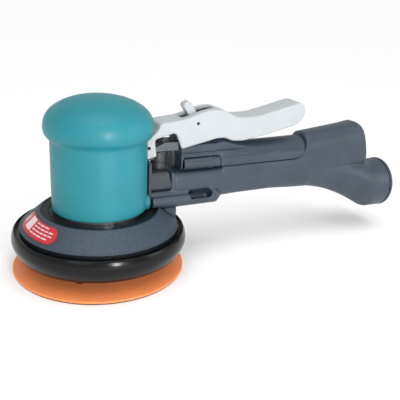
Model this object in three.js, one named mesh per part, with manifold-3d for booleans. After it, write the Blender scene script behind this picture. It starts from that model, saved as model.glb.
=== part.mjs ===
// Two-handed pneumatic random-orbit sander with dust shroud and hose port.
// Millimetres, +Z up. Origin: motor axis at the working face of the pad.
// +X runs along the handle to its rear end, the throttle lever is on top.
import * as THREE from 'three';
import { mergeVertices } from 'three/addons/utils/BufferGeometryUtils.js';
import Module from 'manifold-3d';

const wasm = await Module();
wasm.setup();

// ---------------------------------------------------------------- driving dimensions
const GAP = 0.3;                 // air left between touching pieces
const ORBIT_OFFSET = 2.4;        // eccentricity of the pad spindle, along +Y (4.8 mm orbit)
const PAD_R = 63.5;              // 127 mm disc
const HOOK_T = 0.5;              // hook face thickness
const PAD_TOP = 9.0;             // pad thickness at the hub
const DUST_HOLES = 5;
const DUST_HOLE_R = 4.75;
const DUST_HOLE_CIRCLE_R = 40;

const HOUSING_R = 31.0;          // motor housing outside radius
const HOUSING_BORE_R = 28.5;
const HOUSING_FOOT_Z = 41.6;
const HOUSING_TOP_Z = 104.4;
const COVER_BORE_R = 31.3;       // grip cover inside radius
const COVER_FOOT_Z = 48.3;
const COVER_TOP_Z = 130.0;

const ROTOR_R = 21.5;
const ROTOR_Z = [58.6, 91.4];
const LINER_BORE_R = 24.1;
const LINER_BORE_X = -2.3;       // liner bore is off the rotor axis
const SHAFT_R = 5.7;
const FRONT_SHAFT_R = 7.7;
const SPINDLE_R = 6.0;
const BLADE_T = 1.6;
const BLADE_SLOT_T = 2.2;

const BOLT_Y = 12.2;             // handle bolts, either side
const BOLT_Z = 51.2;
const BOSS_R = 6.2;

const DUCT_W = 13.8;             // half width of the handle
const TUBE_Y = 9.5;              // upper air tubes
const TUBE_Z = 77.2;
const TUBE_R = 4.6;
const PORT_R = 21.5;             // hose port outside radius
const PORT_BORE_R = 19.2;
const PORT_Z = 39.5;
const PORT_END_X = 265.0;

const VALVE_X = 45.6;            // throttle valve axis
const REGULATOR_X = 55.3;
const LEVER_PIVOT = [33.8, 91.7];
const PIN_HOLE_R = 1.3;
const PIN_R = 1.0;
const LEVER_HALF_W = 10.8;
const LEVER_WALL = 1.3;
const LOCK_PIVOT = [72.5, 107.6];

// ---------------------------------------------------------------- helpers
// Welds a geometry, drops collapsed triangles and turns the faces outwards.
function weld(geometry) {
  let g = geometry.index ? geometry.toNonIndexed() : geometry.clone();
  g.deleteAttribute('normal');
  g.deleteAttribute('uv');
  g = mergeVertices(g, 1e-4);
  const p = g.attributes.position;
  const idx = g.index.array;
  const tris = [];
  let volume = 0;
  const a = new THREE.Vector3();
  const b = new THREE.Vector3();
  const c = new THREE.Vector3();
  for (let i = 0; i < idx.length; i += 3) {
    const [i0, i1, i2] = [idx[i], idx[i + 1], idx[i + 2]];
    if (i0 === i1 || i1 === i2 || i0 === i2) continue;
    a.fromBufferAttribute(p, i0);
    b.fromBufferAttribute(p, i1);
    c.fromBufferAttribute(p, i2);
    volume += a.dot(b.clone().cross(c));
    tris.push(i0, i1, i2);
  }
  if (volume < 0) {
    for (let i = 0; i < tris.length; i += 3) {
      const t = tris[i + 1];
      tris[i + 1] = tris[i + 2];
      tris[i + 2] = t;
    }
  }
  const out = new THREE.BufferGeometry();
  out.setAttribute('position', new THREE.BufferAttribute(new Float32Array(p.array), 3));
  out.setIndex(tris);
  return out;
}

function toSolid(geometry) {
  const g = weld(geometry);
  return new wasm.Manifold(new wasm.Mesh({
    numProp: 3,
    vertProperties: new Float32Array(g.attributes.position.array),
    triVerts: new Uint32Array(g.index.array),
  }));
}

function toGeometry(solid) {
  const m = solid.getMesh();
  const n = m.vertProperties.length / m.numProp;
  const pos = new Float32Array(n * 3);
  for (let i = 0; i < n; i++) {
    for (let k = 0; k < 3; k++) pos[i * 3 + k] = m.vertProperties[i * m.numProp + k];
  }
  const g = new THREE.BufferGeometry();
  g.setAttribute('position', new THREE.BufferAttribute(pos, 3));
  g.setIndex(Array.from(m.triVerts));
  return g;
}

// Solid of revolution about an upright axis through (cx, cy); profile is [radius, z] pairs.
function turned(profile, segments = 32, cx = 0, cy = 0) {
  const pts = profile.map(([r, z]) => new THREE.Vector2(r, z));
  if (profile[0][0] > 1e-6 || profile[profile.length - 1][0] > 1e-6) pts.push(pts[0].clone());
  const g = new THREE.LatheGeometry(pts, segments);
  g.rotateX(Math.PI / 2);
  g.translate(cx, cy, 0);
  return g;
}

// Ring of rectangular section about an upright axis.
const ring = (rIn, rOut, z0, z1, seg = 28, cx = 0, cy = 0) =>
  turned([[rIn, z0], [rOut, z0], [rOut, z1], [rIn, z1]], seg, cx, cy);

// Upright cylinder between two heights.
function post(r, z0, z1, cx = 0, cy = 0, seg = 24) {
  const g = new THREE.CylinderGeometry(r, r, z1 - z0, seg);
  g.rotateX(Math.PI / 2);
  g.translate(cx, cy, (z0 + z1) / 2);
  return g;
}

// Cylinder along X.
function rodX(r, x0, x1, y, z, seg = 24, r1 = r) {
  const g = new THREE.CylinderGeometry(r1, r, x1 - x0, seg);
  g.rotateZ(-Math.PI / 2);
  g.translate((x0 + x1) / 2, y, z);
  return g;
}

// Cylinder along Y.
function rodY(r, y0, y1, x, z, seg = 20) {
  const g = new THREE.CylinderGeometry(r, r, y1 - y0, seg);
  g.translate(x, (y0 + y1) / 2, z);
  return g;
}

function block(x0, x1, y0, y1, z0, z1) {
  const g = new THREE.BoxGeometry(x1 - x0, y1 - y0, z1 - z0);
  g.translate((x0 + x1) / 2, (y0 + y1) / 2, (z0 + z1) / 2);
  return g;
}

// Side-view outline ([x, z] pairs) given a width in Y.
function sidePlate(outline, y0, y1) {
  const s = new THREE.Shape(outline.map(([x, z]) => new THREE.Vector2(x, z)));
  const g = new THREE.ExtrudeGeometry(s, { depth: y1 - y0, bevelEnabled: false, curveSegments: 6 });
  g.rotateX(Math.PI / 2);
  g.translate(0, y1, 0);
  return g;
}

// Plan-view outline ([x, y] pairs) given a height in Z.
function planPlate(outline, z0, z1) {
  const s = new THREE.Shape(outline.map(([x, y]) => new THREE.Vector2(x, y)));
  const g = new THREE.ExtrudeGeometry(s, { depth: z1 - z0, bevelEnabled: false });
  g.translate(0, 0, z0);
  return g;
}

// Rounded rectangle in the Y-Z plane, thickness along X.
function roundedBlockX(x0, x1, halfY, z0, z1, r, seg = 4) {
  const s = new THREE.Shape();
  const zc = (z0 + z1) / 2;
  const h = (z1 - z0) / 2;
  s.moveTo(-halfY + r, -h);
  s.lineTo(halfY - r, -h);
  s.absarc(halfY - r, -h + r, r, -Math.PI / 2, 0);
  s.lineTo(halfY, h - r);
  s.absarc(halfY - r, h - r, r, 0, Math.PI / 2);
  s.lineTo(-halfY + r, h);
  s.absarc(-halfY + r, h - r, r, Math.PI / 2, Math.PI);
  s.lineTo(-halfY, -h + r);
  s.absarc(-halfY + r, -h + r, r, Math.PI, Math.PI * 1.5);
  const g = new THREE.ExtrudeGeometry(s, { depth: x1 - x0, bevelEnabled: false, curveSegments: seg });
  g.rotateX(Math.PI / 2);
  g.rotateZ(Math.PI / 2);
  g.translate(x0, 0, zc);
  return g;
}

// Loft along X: each station is {x, w, z0, z1, n}: half width, bottom, top and squareness.
// lean shears a station, so that an end face can lean forwards or back.
function loftX(stations, around = 28) {
  const m = stations.length - 1;
  const g = new THREE.CylinderGeometry(1, 1, 1, around, m);
  const p = g.attributes.position;
  for (let i = 0; i < p.count; i++) {
    const k = Math.round((p.getY(i) + 0.5) * m);
    const s = stations[k];
    const rho = Math.hypot(p.getX(i), p.getZ(i));
    const ang = Math.atan2(p.getZ(i), p.getX(i));
    const n = s.n ?? 2;
    const e = 2 / n;
    const cy = Math.sign(Math.cos(ang)) * Math.abs(Math.cos(ang)) ** e;
    const cz = Math.sign(Math.sin(ang)) * Math.abs(Math.sin(ang)) ** e;
    const zc = (s.z0 + s.z1) / 2;
    const h = (s.z1 - s.z0) / 2;
    const y = Math.abs(cy) < 1e-9 ? 0 : rho * s.w * cy;
    const z = zc + (Math.abs(cz) < 1e-9 ? 0 : rho * h * cz);
    p.setXYZ(i, s.x + (s.lean ?? 0) * (z - zc), y, z);
  }
  return g;
}

function join(first, ...rest) {
  let s = toSolid(first);
  for (const g of rest) s = s.add(toSolid(g));
  return s;
}

function cut(solid, ...tools) {
  let s = solid;
  for (const g of tools) s = s.subtract(toSolid(g));
  return s;
}

// ---------------------------------------------------------------- materials
const material = (name, color, roughness, metalness) =>
  Object.assign(new THREE.MeshStandardMaterial({ color, roughness, metalness }), { name });

const TEAL = material('teal_cover', 0x3f97a1, 0.5, 0.0);
const CASTING = material('black_casting', 0x33373b, 0.45, 0.5);
const ALUMINIUM = material('aluminium', 0xaab0b4, 0.4, 0.9);
const STEEL = material('steel', 0xb4b7ba, 0.3, 1.0);
const BEARING = material('bearing_steel', 0xc6c9cc, 0.2, 1.0);
const COMPOSITE = material('handle_composite', 0x45494f, 0.5, 0.0);
const SHROUD = material('shroud_plastic', 0x4c5a66, 0.65, 0.0);
const RUBBER = material('skirt_rubber', 0x151818, 0.25, 0.0);
const ORANGE = material('pad_urethane', 0xe68152, 0.6, 0.0);
const HOOK = material('hook_face', 0x2b2b2d, 0.95, 0.0);
const LABEL = material('label_film', 0xc8354f, 0.5, 0.0);
const LEVER = material('lever_aluminium', 0xd8dde0, 0.45, 0.2);
const FIBRE = material('blade_fibre', 0x6b4a33, 0.7, 0.0);
const BRASS = material('brass', 0xb59a4c, 0.35, 1.0);
const BARREL = material('black_barrel', 0x1e2022, 0.35, 0.3);
const FELT = material('felt', 0x8b8d88, 0.95, 0.0);
const SEAL = material('seal_rubber', 0x1c1c1e, 0.8, 0.0);

const group = new THREE.Group();
const place = (name, geometry, mat, parent = group) => {
  const g = weld(geometry);
  g.computeVertexNormals();
  const mesh = new THREE.Mesh(g, mat);
  mesh.name = name;
  parent.add(mesh);
  return mesh;
};
const placeSolid = (name, solid, mat) => place(name, toGeometry(solid), mat);

// ================================================================ pad (turns on the eccentric)
const EY = ORBIT_OFFSET;
const holes = (z0, z1, r = DUST_HOLE_R) => Array.from({ length: DUST_HOLES }, (_, i) => {
  const a = Math.PI / 2 + (i * 2 * Math.PI) / DUST_HOLES;
  return post(r, z0, z1, DUST_HOLE_CIRCLE_R * Math.cos(a), EY + DUST_HOLE_CIRCLE_R * Math.sin(a), 12);
});
placeSolid('hook_face', cut(toSolid(post(PAD_R - 0.8, 0, HOOK_T, 0, EY, 40)), ...holes(-1, 3)), HOOK);
placeSolid('pad', cut(toSolid(turned([
  [0, HOOK_T + GAP], [PAD_R - 0.6, HOOK_T + GAP], [PAD_R, 1.2], [PAD_R, 2.6],
  [50, 4.5], [36, 6.6], [29, PAD_TOP], [0, PAD_TOP],
], 40, 0, EY)), ...holes(0, 12)), ORANGE);
place('pad_backing_plate', turned([
  [0, PAD_TOP + GAP], [27, PAD_TOP + GAP], [26.6, 10.9], [8.8, 11.3], [8.4, 13.2], [4, 13.2],
  [4, 23.4], [0, 23.4],
], 24, 0, EY), STEEL);
place('spindle', turned([
  [0, 24.3], [4.3, 24.3], [4.3, 13.5], [9.5, 13.5], [9.5, 16.4], [SPINDLE_R, 16.9],
  [SPINDLE_R, 34.0], [0, 34.0],
], 18, 0, EY), STEEL);
place('spindle_bearing_inner_race', ring(SPINDLE_R + GAP, 8.4, 19, 32.5, 18, 0, EY), BEARING);

// ================================================================ rotor group (turns on the motor axis)
place('spindle_bearing_outer_race', ring(10.4, 12.7, 19, 32.5, 20, 0, EY), BEARING);
{
  const lobe = new THREE.Shape();
  lobe.absarc(0, 0, 25, -Math.PI + 0.18, -0.18);
  const lobeG = new THREE.ExtrudeGeometry(lobe, { depth: 8.5, bevelEnabled: false, curveSegments: 9 });
  lobeG.translate(0, 0, 30.5);
  let s = join(turned([
    [0, 17.6], [17.6, 17.6], [17.6, 39.6], [FRONT_SHAFT_R, 39.6], [FRONT_SHAFT_R, 58.3],
    [SHAFT_R, 58.3], [SHAFT_R, 97.1], [0, 97.1],
  ], 20), lobeG);
  s = cut(s, post(13.0, 16, 34.8, 0, EY, 20), block(-1.5, 1.5, 3.9, 9, 65.7, 80.3));
  placeSolid('shaft_balancer', s, STEEL);
}
{
  let s = toSolid(ring(6.0, ROTOR_R, ROTOR_Z[0], ROTOR_Z[1], 20));
  const tools = [block(-1.5, 1.5, 3, 8.3, ROTOR_Z[0] - 1, ROTOR_Z[1] + 1)];
  for (let i = 0; i < 5; i++) {
    const g = block(12.2, 30, -BLADE_SLOT_T / 2, BLADE_SLOT_T / 2, ROTOR_Z[0] - 1, ROTOR_Z[1] + 1);
    g.rotateZ(THREE.MathUtils.degToRad(18 + 72 * i + 36));
    tools.push(g);
    const b = block(12.6, 21.3, -BLADE_T / 2, BLADE_T / 2, ROTOR_Z[0] + 0.1, ROTOR_Z[1] - 0.1);
    b.rotateZ(THREE.MathUtils.degToRad(18 + 72 * i + 36));
    place(`rotor_blade_${i + 1}`, b, FIBRE);
  }
  placeSolid('rotor', cut(s, ...tools), STEEL);
}
place('rotor_key', block(-1.2, 1.2, 4.2, 8.0, 66, 80), STEEL);
place('front_bearing_inner_race', ring(8.0, 10.1, 48.9, 55.6, 20), BEARING);
place('rear_bearing_inner_race', ring(6.0, 7.9, 93.5, 99.0, 20), BEARING);

// ================================================================ motor stack (fixed)
place('front_bearing_outer_race', ring(12.5, 15.0, 48.9, 55.6, 20), BEARING);
place('rear_bearing_outer_race', ring(10.1, 12.4, 93.5, 99.0, 20), BEARING);
place('front_end_plate', turned([
  [8.7, 58.2], [8.7, 55.9], [15.3, 55.9], [15.3, 48.6], [18.4, 48.6], [18.4, 53.0], [28.2, 53.0], [28.2, 58.2],
], 20), STEEL);
place('rear_end_plate', turned([
  [6.8, 91.9], [28.2, 91.9], [28.2, 97.0], [16.2, 97.0], [16.2, 101.0], [12.7, 101.0], [12.7, 93.2], [6.8, 93.2],
], 20), STEEL);
{
  // Liner: outside round, bore off-centre, so that the chamber is crescent-shaped.
  const s = cut(toSolid(post(28.2, 58.5, 91.6, 0, 0, 28)), post(LINER_BORE_R + 0.1, 55, 95, LINER_BORE_X, 0, 28));
  placeSolid('cylinder_liner', s, STEEL);
}
{
  const s = toSolid(ring(19.2, 28.2, 44.2, 52.7, 20));
  const notches = [0, 1, 2, 3].map((i) => {
    const g = block(17, 25, -2, 2, 43, 47);
    g.rotateZ((Math.PI / 2) * i + Math.PI / 4);
    return g;
  });
  placeSolid('lock_ring', cut(s, ...notches), STEEL);
}
{
  let s = join(
    turned([[HOUSING_BORE_R, HOUSING_FOOT_Z], [HOUSING_R, HOUSING_FOOT_Z], [HOUSING_R, HOUSING_TOP_Z],
      [0, HOUSING_TOP_Z], [0, 101.6], [HOUSING_BORE_R, 101.6]], 32),
    block(27, 32.2, -9, 9, 58, 82),
  );
  s = cut(s, post(HOUSING_BORE_R, 30, 101.6, 0, 0, 32),
    rodX(2.1, 20, 33, BOLT_Y, BOLT_Z, 10), rodX(2.1, 20, 33, -BOLT_Y, BOLT_Z, 10));
  placeSolid('motor_housing', s, ALUMINIUM);
}
{
  // Cover: straight sides with a slight draft, a mushroom crown, hollow inside.
  const outer = [
    [COVER_BORE_R, COVER_FOOT_Z], [34.45, COVER_FOOT_Z], [34.4, 98.2], [35.6, 100.3],
    [37.6, 102.6], [38.6, 105.2], [38.75, 108.4], [38.0, 113.0], [35.6, 117.6],
    [30.4, 122.2], [22.0, 126.4], [11.0, 129.2], [0, COVER_TOP_Z],
  ];
  const inner = [[0, 121], [14, 120], [27, 113], [COVER_BORE_R, HOUSING_TOP_Z + 0.4]];
  let s = toSolid(turned([...outer, ...inner], 36));
  for (const sy of [-1, 1]) s = s.add(toSolid(rodX(BOSS_R, 22, 32.2, sy * BOLT_Y, BOLT_Z + 0.4, 16)));
  s = cut(s, post(COVER_BORE_R + 0.05, 30, HOUSING_TOP_Z + 0.3, 0, 0, 36),
    block(20, 45, -9.4, 9.4, 57.7, 82.4), sidePlate([[31.0, 82.2], [45, 82.2], [45, 106.5], [40.3, 106.2], [36.0, 101.4], [31.0, 98.0]], -11.3, 11.3),
    block(24, 60, -30, 30, 30, 47.0), block(32.2, 60, -20, 20, 40, 82.6),
    rodX(2.8, 20, 40, BOLT_Y, BOLT_Z, 10), rodX(2.8, 20, 40, -BOLT_Y, BOLT_Z, 10));
  placeSolid('grip_cover', s, TEAL);
}

// ================================================================ shroud, skirt, spout
{
  let s = toSolid(turned([
    [HOUSING_R + GAP, 43.3], [HOUSING_R + GAP, 45.3], [36.4, 45.3], [37.4, 46.2], [41.6, 46.2], [42.9, 47.0],
    [45.2, 45.7], [57.8, 34.5], [57.8, 31.4], [55.6, 31.4], [55.6, 33.2], [44.0, 43.3],
  ], 40));
  s = cut(s, block(43.2, 53.6, -9.6, 9.6, 30, 60));
  placeSolid('shroud', s, SHROUD);
}
place('shroud_clamp_ring', ring(HOUSING_R + GAP, 36, 41.2, 43.0, 32), STEEL);
place('skirt', turned([
  [58.1, 28.6], [58.1, 30.6], [60.6, 30.6], [61.2, 32.8], [62.2, 32.9], [63.4, 30.4], [63.8, 27.0],
  [63.1, 22.4], [60.8, 17.4], [58.8, 15.4], [57.0, 15.6], [59.2, 20.8], [60.8, 26.0], [60.2, 28.2],
], 40), RUBBER);
{
  // Label plate: a thin film bent to the cone, on its front-left.
  const cone = (d) => turned([[46.6, 44.46 + d], [56.2, 35.9 + d], [56.2, 36.4 + d], [46.6, 44.96 + d]], 80);
  const s = toSolid(cone(0.34));
  const sector = new THREE.Shape();
  sector.moveTo(0, 0);
  const A0 = THREE.MathUtils.degToRad(164);
  const A1 = THREE.MathUtils.degToRad(220);
  for (let i = 0; i <= 16; i++) {
    const a = A0 + ((A1 - A0) * i) / 16;
    sector.lineTo(80 * Math.cos(a), 80 * Math.sin(a));
  }
  const wedge = new THREE.ExtrudeGeometry(sector, { depth: 40, bevelEnabled: false });
  wedge.translate(0, 0, 20);
  placeSolid('label_plate', s.intersect(toSolid(wedge)), LABEL);
}
{
  // Spout between the cone's opening and the handle's underside, open top and bottom.
  const cone = turned([[0, 100], [0, 43], [44.2, 43.0], [45.2, 46.1], [57.5, 35.3], [57.5, 100]], 40);
  let s = toSolid(block(46.2, 56.6, -12, 12, 33, 43.9)).intersect(toSolid(cone));
  s = cut(s, block(40, 54.6, -10, 10, 20, 60));
  placeSolid('dust_spout', s, COMPOSITE);
}

// ================================================================ handle
{
  // Mount plate between motor and handle, with the lever's pivot lug on top.
  let s = join(
    roundedBlockX(32.5, 34.5, 15, 47.5, 82.3, 3),
    sidePlate([[32.5, 78], [38.4, 78], [38.4, 92], [37.6, 94.2], [35.6, 95.2], [31.4, 95.2], [31.4, 82.8], [32.5, 82.8]], -8.9, 8.9),
  );
  s = cut(s, block(34.5, 40, -20, 20, 70, 82.3),
    rodY(PIN_HOLE_R, -12, 12, LEVER_PIVOT[0], LEVER_PIVOT[1], 14),
    rodX(2.6, 30, 40, BOLT_Y, BOLT_Z, 10), rodX(2.6, 30, 40, -BOLT_Y, BOLT_Z, 10));
  placeSolid('handle_mount', s, CASTING);
}
{
  let s = toSolid(roundedBlockX(34.8, 50.9, 13.4, 58.8, 73.2, 3));
  s = cut(s, post(4.2, 67, 80, VALVE_X, 0, 16), sidePlate([[48.6, 74], [50.9, 64.5], [53, 64.5], [53, 74]], -20, 20));
  placeSolid('valve_body', s, CASTING);
}
placeSolid('throttle_valve_sleeve', cut(toSolid(turned([
  [4.2, 73.5], [6.6, 73.5], [6.6, 86.2], [6.0, 87.5], [4.2, 87.5],
], 20, VALVE_X, 0))), BARREL);
place('valve_seat', ring(1.9, 3.9, 76, 78, 12, VALVE_X, 0), BRASS);
place('valve_tip', ring(1.7, 3.4, 74.0, 75.6, 12, VALVE_X, 0), SEAL);
place('valve_stem', turned([
  [0, 72.6], [2.6, 72.6], [2.6, 73.7], [1.4, 73.7], [1.4, 102.4], [3.8, 102.4], [3.8, 103.1], [1.1, 103.1], [1.1, 107.4], [0, 107.4],
], 12, VALVE_X, 0), STEEL);
{
  const s = cut(toSolid(sidePlate([[39, 87.8], [58.4, 87.8], [58.4, 94], [47.4, 94], [39, 90.4]], -7.6, 7.6)),
    post(1.8, 80, 100, VALVE_X, 0, 12));
  placeSolid('valve_cap', s, ALUMINIUM);
}
function coil(r, wire, z0, z1, turns, perTurn, sides) {
  const pts = [];
  const n = turns * perTurn;
  for (let i = 0; i <= n; i++) {
    const a = (i / perTurn) * Math.PI * 2;
    pts.push(new THREE.Vector3(r * Math.cos(a), r * Math.sin(a), z0 + wire + ((z1 - z0 - 2 * wire) * i) / n));
  }
  const section = new THREE.Shape();
  for (let i = 0; i < sides; i++) {
    const a = (i / sides) * Math.PI * 2;
    if (i) section.lineTo(wire * Math.cos(a), wire * Math.sin(a));
    else section.moveTo(wire, 0);
  }
  return new THREE.ExtrudeGeometry(section, {
    steps: n, bevelEnabled: false, extrudePath: new THREE.CatmullRomCurve3(pts),
  });
}
{
  const g = coil(3.3, 0.5, 94.4, 102.1, 4, 8, 5);
  g.translate(VALVE_X, 0, 0);
  place('valve_spring', g, STEEL);
}
{
  // Regulator: a fluted barrel turned by a finger.
  const s = new THREE.Shape();
  for (let i = 0; i < 24; i++) {
    const a = (i / 24) * Math.PI * 2;
    const r = i % 2 ? 2.55 : 2.9;
    if (i) s.lineTo(r * Math.cos(a), r * Math.sin(a));
    else s.moveTo(r, 0);
  }
  const g = new THREE.ExtrudeGeometry(s, { depth: 13.6, bevelEnabled: false });
  g.translate(REGULATOR_X + 0.1, 0, 73.7);
  place('speed_regulator', g, BARREL);
}

// Channel behind a bolt head, open outwards and upwards.
function scoop(x0, x1, sy) {
  const g = block(x0, x1, 0, 14, -3.7, 3.7);
  g.rotateX(THREE.MathUtils.degToRad(42));
  if (sy < 0) g.rotateZ(Math.PI).translate(x0 + x1, 0, 0);
  g.translate(0, sy * BOLT_Y, BOLT_Z);
  return g;
}

// Lower duct, side bosses, oval end and hose-port cone: one moulding, hollow.
{
  let s = join(
    loftX([{ x: 34.8, w: 13.2, z0: 45.2, z1: 58.4, n: 5 }, { x: 56, w: 13.4, z0: 45.2, z1: 58.4, n: 5 }], 24),
    loftX([
      { x: 55, w: DUCT_W, z0: 45.2, z1: 71.9, n: 5 },
      { x: 90, w: DUCT_W, z0: 45.2, z1: 71.9, n: 5 }, { x: 93.5, w: DUCT_W - 0.4, z0: 46.8, z1: 73.0, n: 3.2 },
      { x: 142, w: DUCT_W - 0.2, z0: 47.1, z1: 73.0, n: 2.7 },
      { x: 160, w: DUCT_W - 0.1, z0: 45.9, z1: 73.1, n: 2.6 }, { x: 178, w: DUCT_W, z0: 44.9, z1: 73.1, n: 2.5 },
    ], 24),
    loftX([{ x: 51.3, w: 12.8, z0: 50, z1: 71.7, n: 5 }, { x: 56, w: 12.8, z0: 50, z1: 71.7, n: 5 }], 24),
    loftX([
      { x: 174, w: 13.5, z0: 45.2, z1: 74, n: 2.1 },
      { x: 188, w: 14.3, z0: 43.3, z1: 73.6, n: 2 }, { x: 199, w: 15.1, z0: 40.6, z1: 71.6, n: 2 },
      { x: 213, w: 17.0, z0: 36.6, z1: 70.2, n: 2 },
      { x: 228, w: 19.0, z0: 29.6, z1: 67.2, n: 2 },
      { x: 250, w: PORT_R, z0: PORT_Z - PORT_R, z1: PORT_Z + PORT_R, n: 2 },
      { x: PORT_END_X - 3, w: PORT_R, z0: PORT_Z - PORT_R, z1: PORT_Z + PORT_R, n: 2 },
    ], 28),
  );
  let hood = toSolid(loftX([
    { x: 156, w: 14.0, z0: 52, z1: 91.2, n: 2.5 },
    { x: 192, w: 14.9, z0: 53, z1: 94.6, n: 2.5 },
    { x: 232.4, w: 16.3, z0: 59.5, z1: 98.2, n: 3, lean: -0.24 },
  ], 24));
  hood = cut(hood, sidePlate([
    [140, 73.2], [161, 73.2], [166.4, 75.2], [169.8, 78.8], [171.5, 83.2],
    [172.5, 87.7], [172.8, 91.0], [172.8, 100], [140, 100],
  ], -30, 30));
  s = s.add(hood);
  for (const sy of [-1, 1]) {
    s = s.add(toSolid(rodX(BOSS_R, 34.8, 88, sy * BOLT_Y, BOLT_Z, 18)));
    s = s.add(toSolid(rodX(BOSS_R, 88, 93.8, sy * BOLT_Y, BOLT_Z, 18, 1.6)));
  }
  s = cut(s,
    // dust way: front channel, duct, cone, port
    post(46.6, 30, 47.4, 0, 0, 40),
    loftX([{ x: 41, w: 7.4, z0: 49.2, z1: 56.8, n: 5 }, { x: 62, w: 7.4, z0: 49.2, z1: 56.8, n: 5 },
      { x: 66, w: 7.4, z0: 47.4, z1: 66, n: 5 }, { x: 96, w: 7.4, z0: 47.8, z1: 66, n: 4 }], 12),
    loftX([{ x: 58, w: 11.2, z0: 58.8, z1: 70.4, n: 4 }, { x: 97, w: 11.2, z0: 58.8, z1: 70.5, n: 4 }], 12),
    loftX([
      { x: 94, w: 11.3, z0: 49.8, z1: 70.5, n: 2.6 }, { x: 170, w: 11.4, z0: 49.8, z1: 70.6, n: 2.3 },
      { x: 188, w: 12, z0: 47.8, z1: 71.0, n: 2 }, { x: 199, w: 12.8, z0: 44, z1: 69.1, n: 2 },
      { x: 213, w: 14.6, z0: 39.2, z1: 67.7, n: 2 }, { x: 228, w: 16.6, z0: 32.2, z1: 64.7, n: 2 },
      { x: 251, w: PORT_BORE_R, z0: PORT_Z - PORT_BORE_R, z1: PORT_Z + PORT_BORE_R, n: 2 },
      { x: 270, w: PORT_BORE_R, z0: PORT_Z - PORT_BORE_R, z1: PORT_Z + PORT_BORE_R, n: 2 },
    ], 24),
    block(44, 54, -7.2, 7.2, 40, 50),
    // exhaust chamber of the oval end
    loftX([
      { x: 184, w: 11.4, z0: 75.6, z1: 90.4, n: 2.3 },
      { x: 213, w: 12.8, z0: 72.6, z1: 94, n: 2.3 },
      { x: 245, w: 13.9, z0: 67.0, z1: 96.4, n: 2.3 },
    ], 20),
    rodX(8.5, 176, 216, 0, 83, 20),
    // bolt passages and the screwdriver grooves behind the bolt heads
    ...[-1, 1].flatMap((sy) => [
      rodX(2.6, 30, 66.5, sy * BOLT_Y, BOLT_Z, 10),
      rodX(3.7, 65.7, 84, sy * BOLT_Y, BOLT_Z, 14),
      scoop(65.7, 84, sy),
    ]));
  placeSolid('handle_shell', s, COMPOSITE);
}
{
  // Upper grip half: wedge block under the lever, thumb bump, round-ended tongue.
  const wedge = [[4.2, 73.4], [4.2, 80.5], [12.4, 82.6], [12.2, 83.6], [9.2, 87.2], [8.7, 91.2]];
  const sh = new THREE.Shape([...wedge, ...wedge.slice().reverse().map(([y, z]) => [-y, z])]
    .map(([y, z]) => new THREE.Vector2(y, z)));
  const wedgeG = new THREE.ExtrudeGeometry(sh, { depth: 33, bevelEnabled: false });
  wedgeG.rotateX(Math.PI / 2);
  wedgeG.rotateZ(Math.PI / 2);
  wedgeG.translate(60, 0, 0);
  let s = join(
    loftX([
      { x: 92, w: 13.7, z0: 62, z1: 90.2, n: 2 },
      { x: 125, w: 13.7, z0: 62, z1: 89, n: 2 },
      { x: 173, w: 13.9, z0: 62, z1: 89.6, n: 2 },
    ], 28),
    wedgeG,
    roundedBlockX(58.8, 61, 13.2, 73.4, 84, 2),
    sidePlate([[86, 80], [86, 91.2], [88.5, 91.2], [92, 94.2], [96, 95], [100, 94.4], [107, 91.9], [116, 89.8], [124, 88.4], [124, 80]], -8.7, 8.7),
    ...[-1, 1].map((sy) => rodX(5.0, 91.8, 174, sy * TUBE_Y, TUBE_Z, 16)),
  );
  s = s.intersect(toSolid(sidePlate([
    [50, 73.5], [160.9, 73.5], [166.1, 75.5], [169.4, 79.0], [171.1, 83.3],
    [172.1, 87.8], [172.4, 91.0], [172.4, 110], [50, 110],
  ], -30, 30)));
  s = cut(s,
    block(61, 172, 9.25, 20, 85.3, 100), block(61, 172, -20, -9.25, 85.3, 100),
    ...[-1, 1].flatMap((sy) => [
      rodX(5.35, 61, 91.9, sy * TUBE_Y, TUBE_Z, 16), rodX(3.2, 90, 160, sy * TUBE_Y, TUBE_Z, 8),
    ]));
  placeSolid('handle_saddle', s, COMPOSITE);
}
for (const [name, sy] of [['air_tube', -1], ['exhaust_tube', 1]]) {
  const s = cut(join(rodX(TUBE_R, 61.3, 91.6, sy * TUBE_Y, TUBE_Z, 16), rodX(4.95, 82, 85, sy * TUBE_Y, TUBE_Z, 16)),
    rodX(3.2, 60, 93, sy * TUBE_Y, TUBE_Z, 8));
  placeSolid(name, s, COMPOSITE);
}
for (const [name, sy] of [['handle_bolt_right', -1], ['handle_bolt_left', 1]]) {
  const s = cut(join(rodX(1.75, 26.8, 68, sy * BOLT_Y, BOLT_Z, 10), rodX(3.2, 66.8, 70.6, sy * BOLT_Y, BOLT_Z, 14)),
    rodX(1.6, 68.4, 72, sy * BOLT_Y, BOLT_Z, 6));
  placeSolid(name, s, STEEL);
}
placeSolid('hose_port_ring', cut(toSolid(rodX(21.8, PORT_END_X - 2.7, PORT_END_X, 0, PORT_Z, 28)),
  rodX(PORT_BORE_R, 250, 270, 0, PORT_Z, 24)), COMPOSITE);
placeSolid('inlet_bushing', cut(join(rodX(8.2, 176.3, 222, 0, 83, 20), rodX(8.2, 221, 227, 0, 83, 6)),
  rodX(5.4, 190, 240, 0, 83, 14)), STEEL);
placeSolid('muffler', cut(toSolid(loftX([
  { x: 206, w: 11.8, z0: 74.2, z1: 92.2, n: 2.3 }, { x: 213, w: 12.3, z0: 73.2, z1: 93.3, n: 2.3 },
], 16)), rodX(8.5, 200, 220, 0, 83, 20)), FELT);
{
  const s = cut(toSolid(block(47.4, 56.4, -11.8, 11.8, 44.2, 44.95)), block(40, 54, -9.6, 9.6, 40, 50));
  placeSolid('spout_seal', s, SEAL);
}

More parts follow.
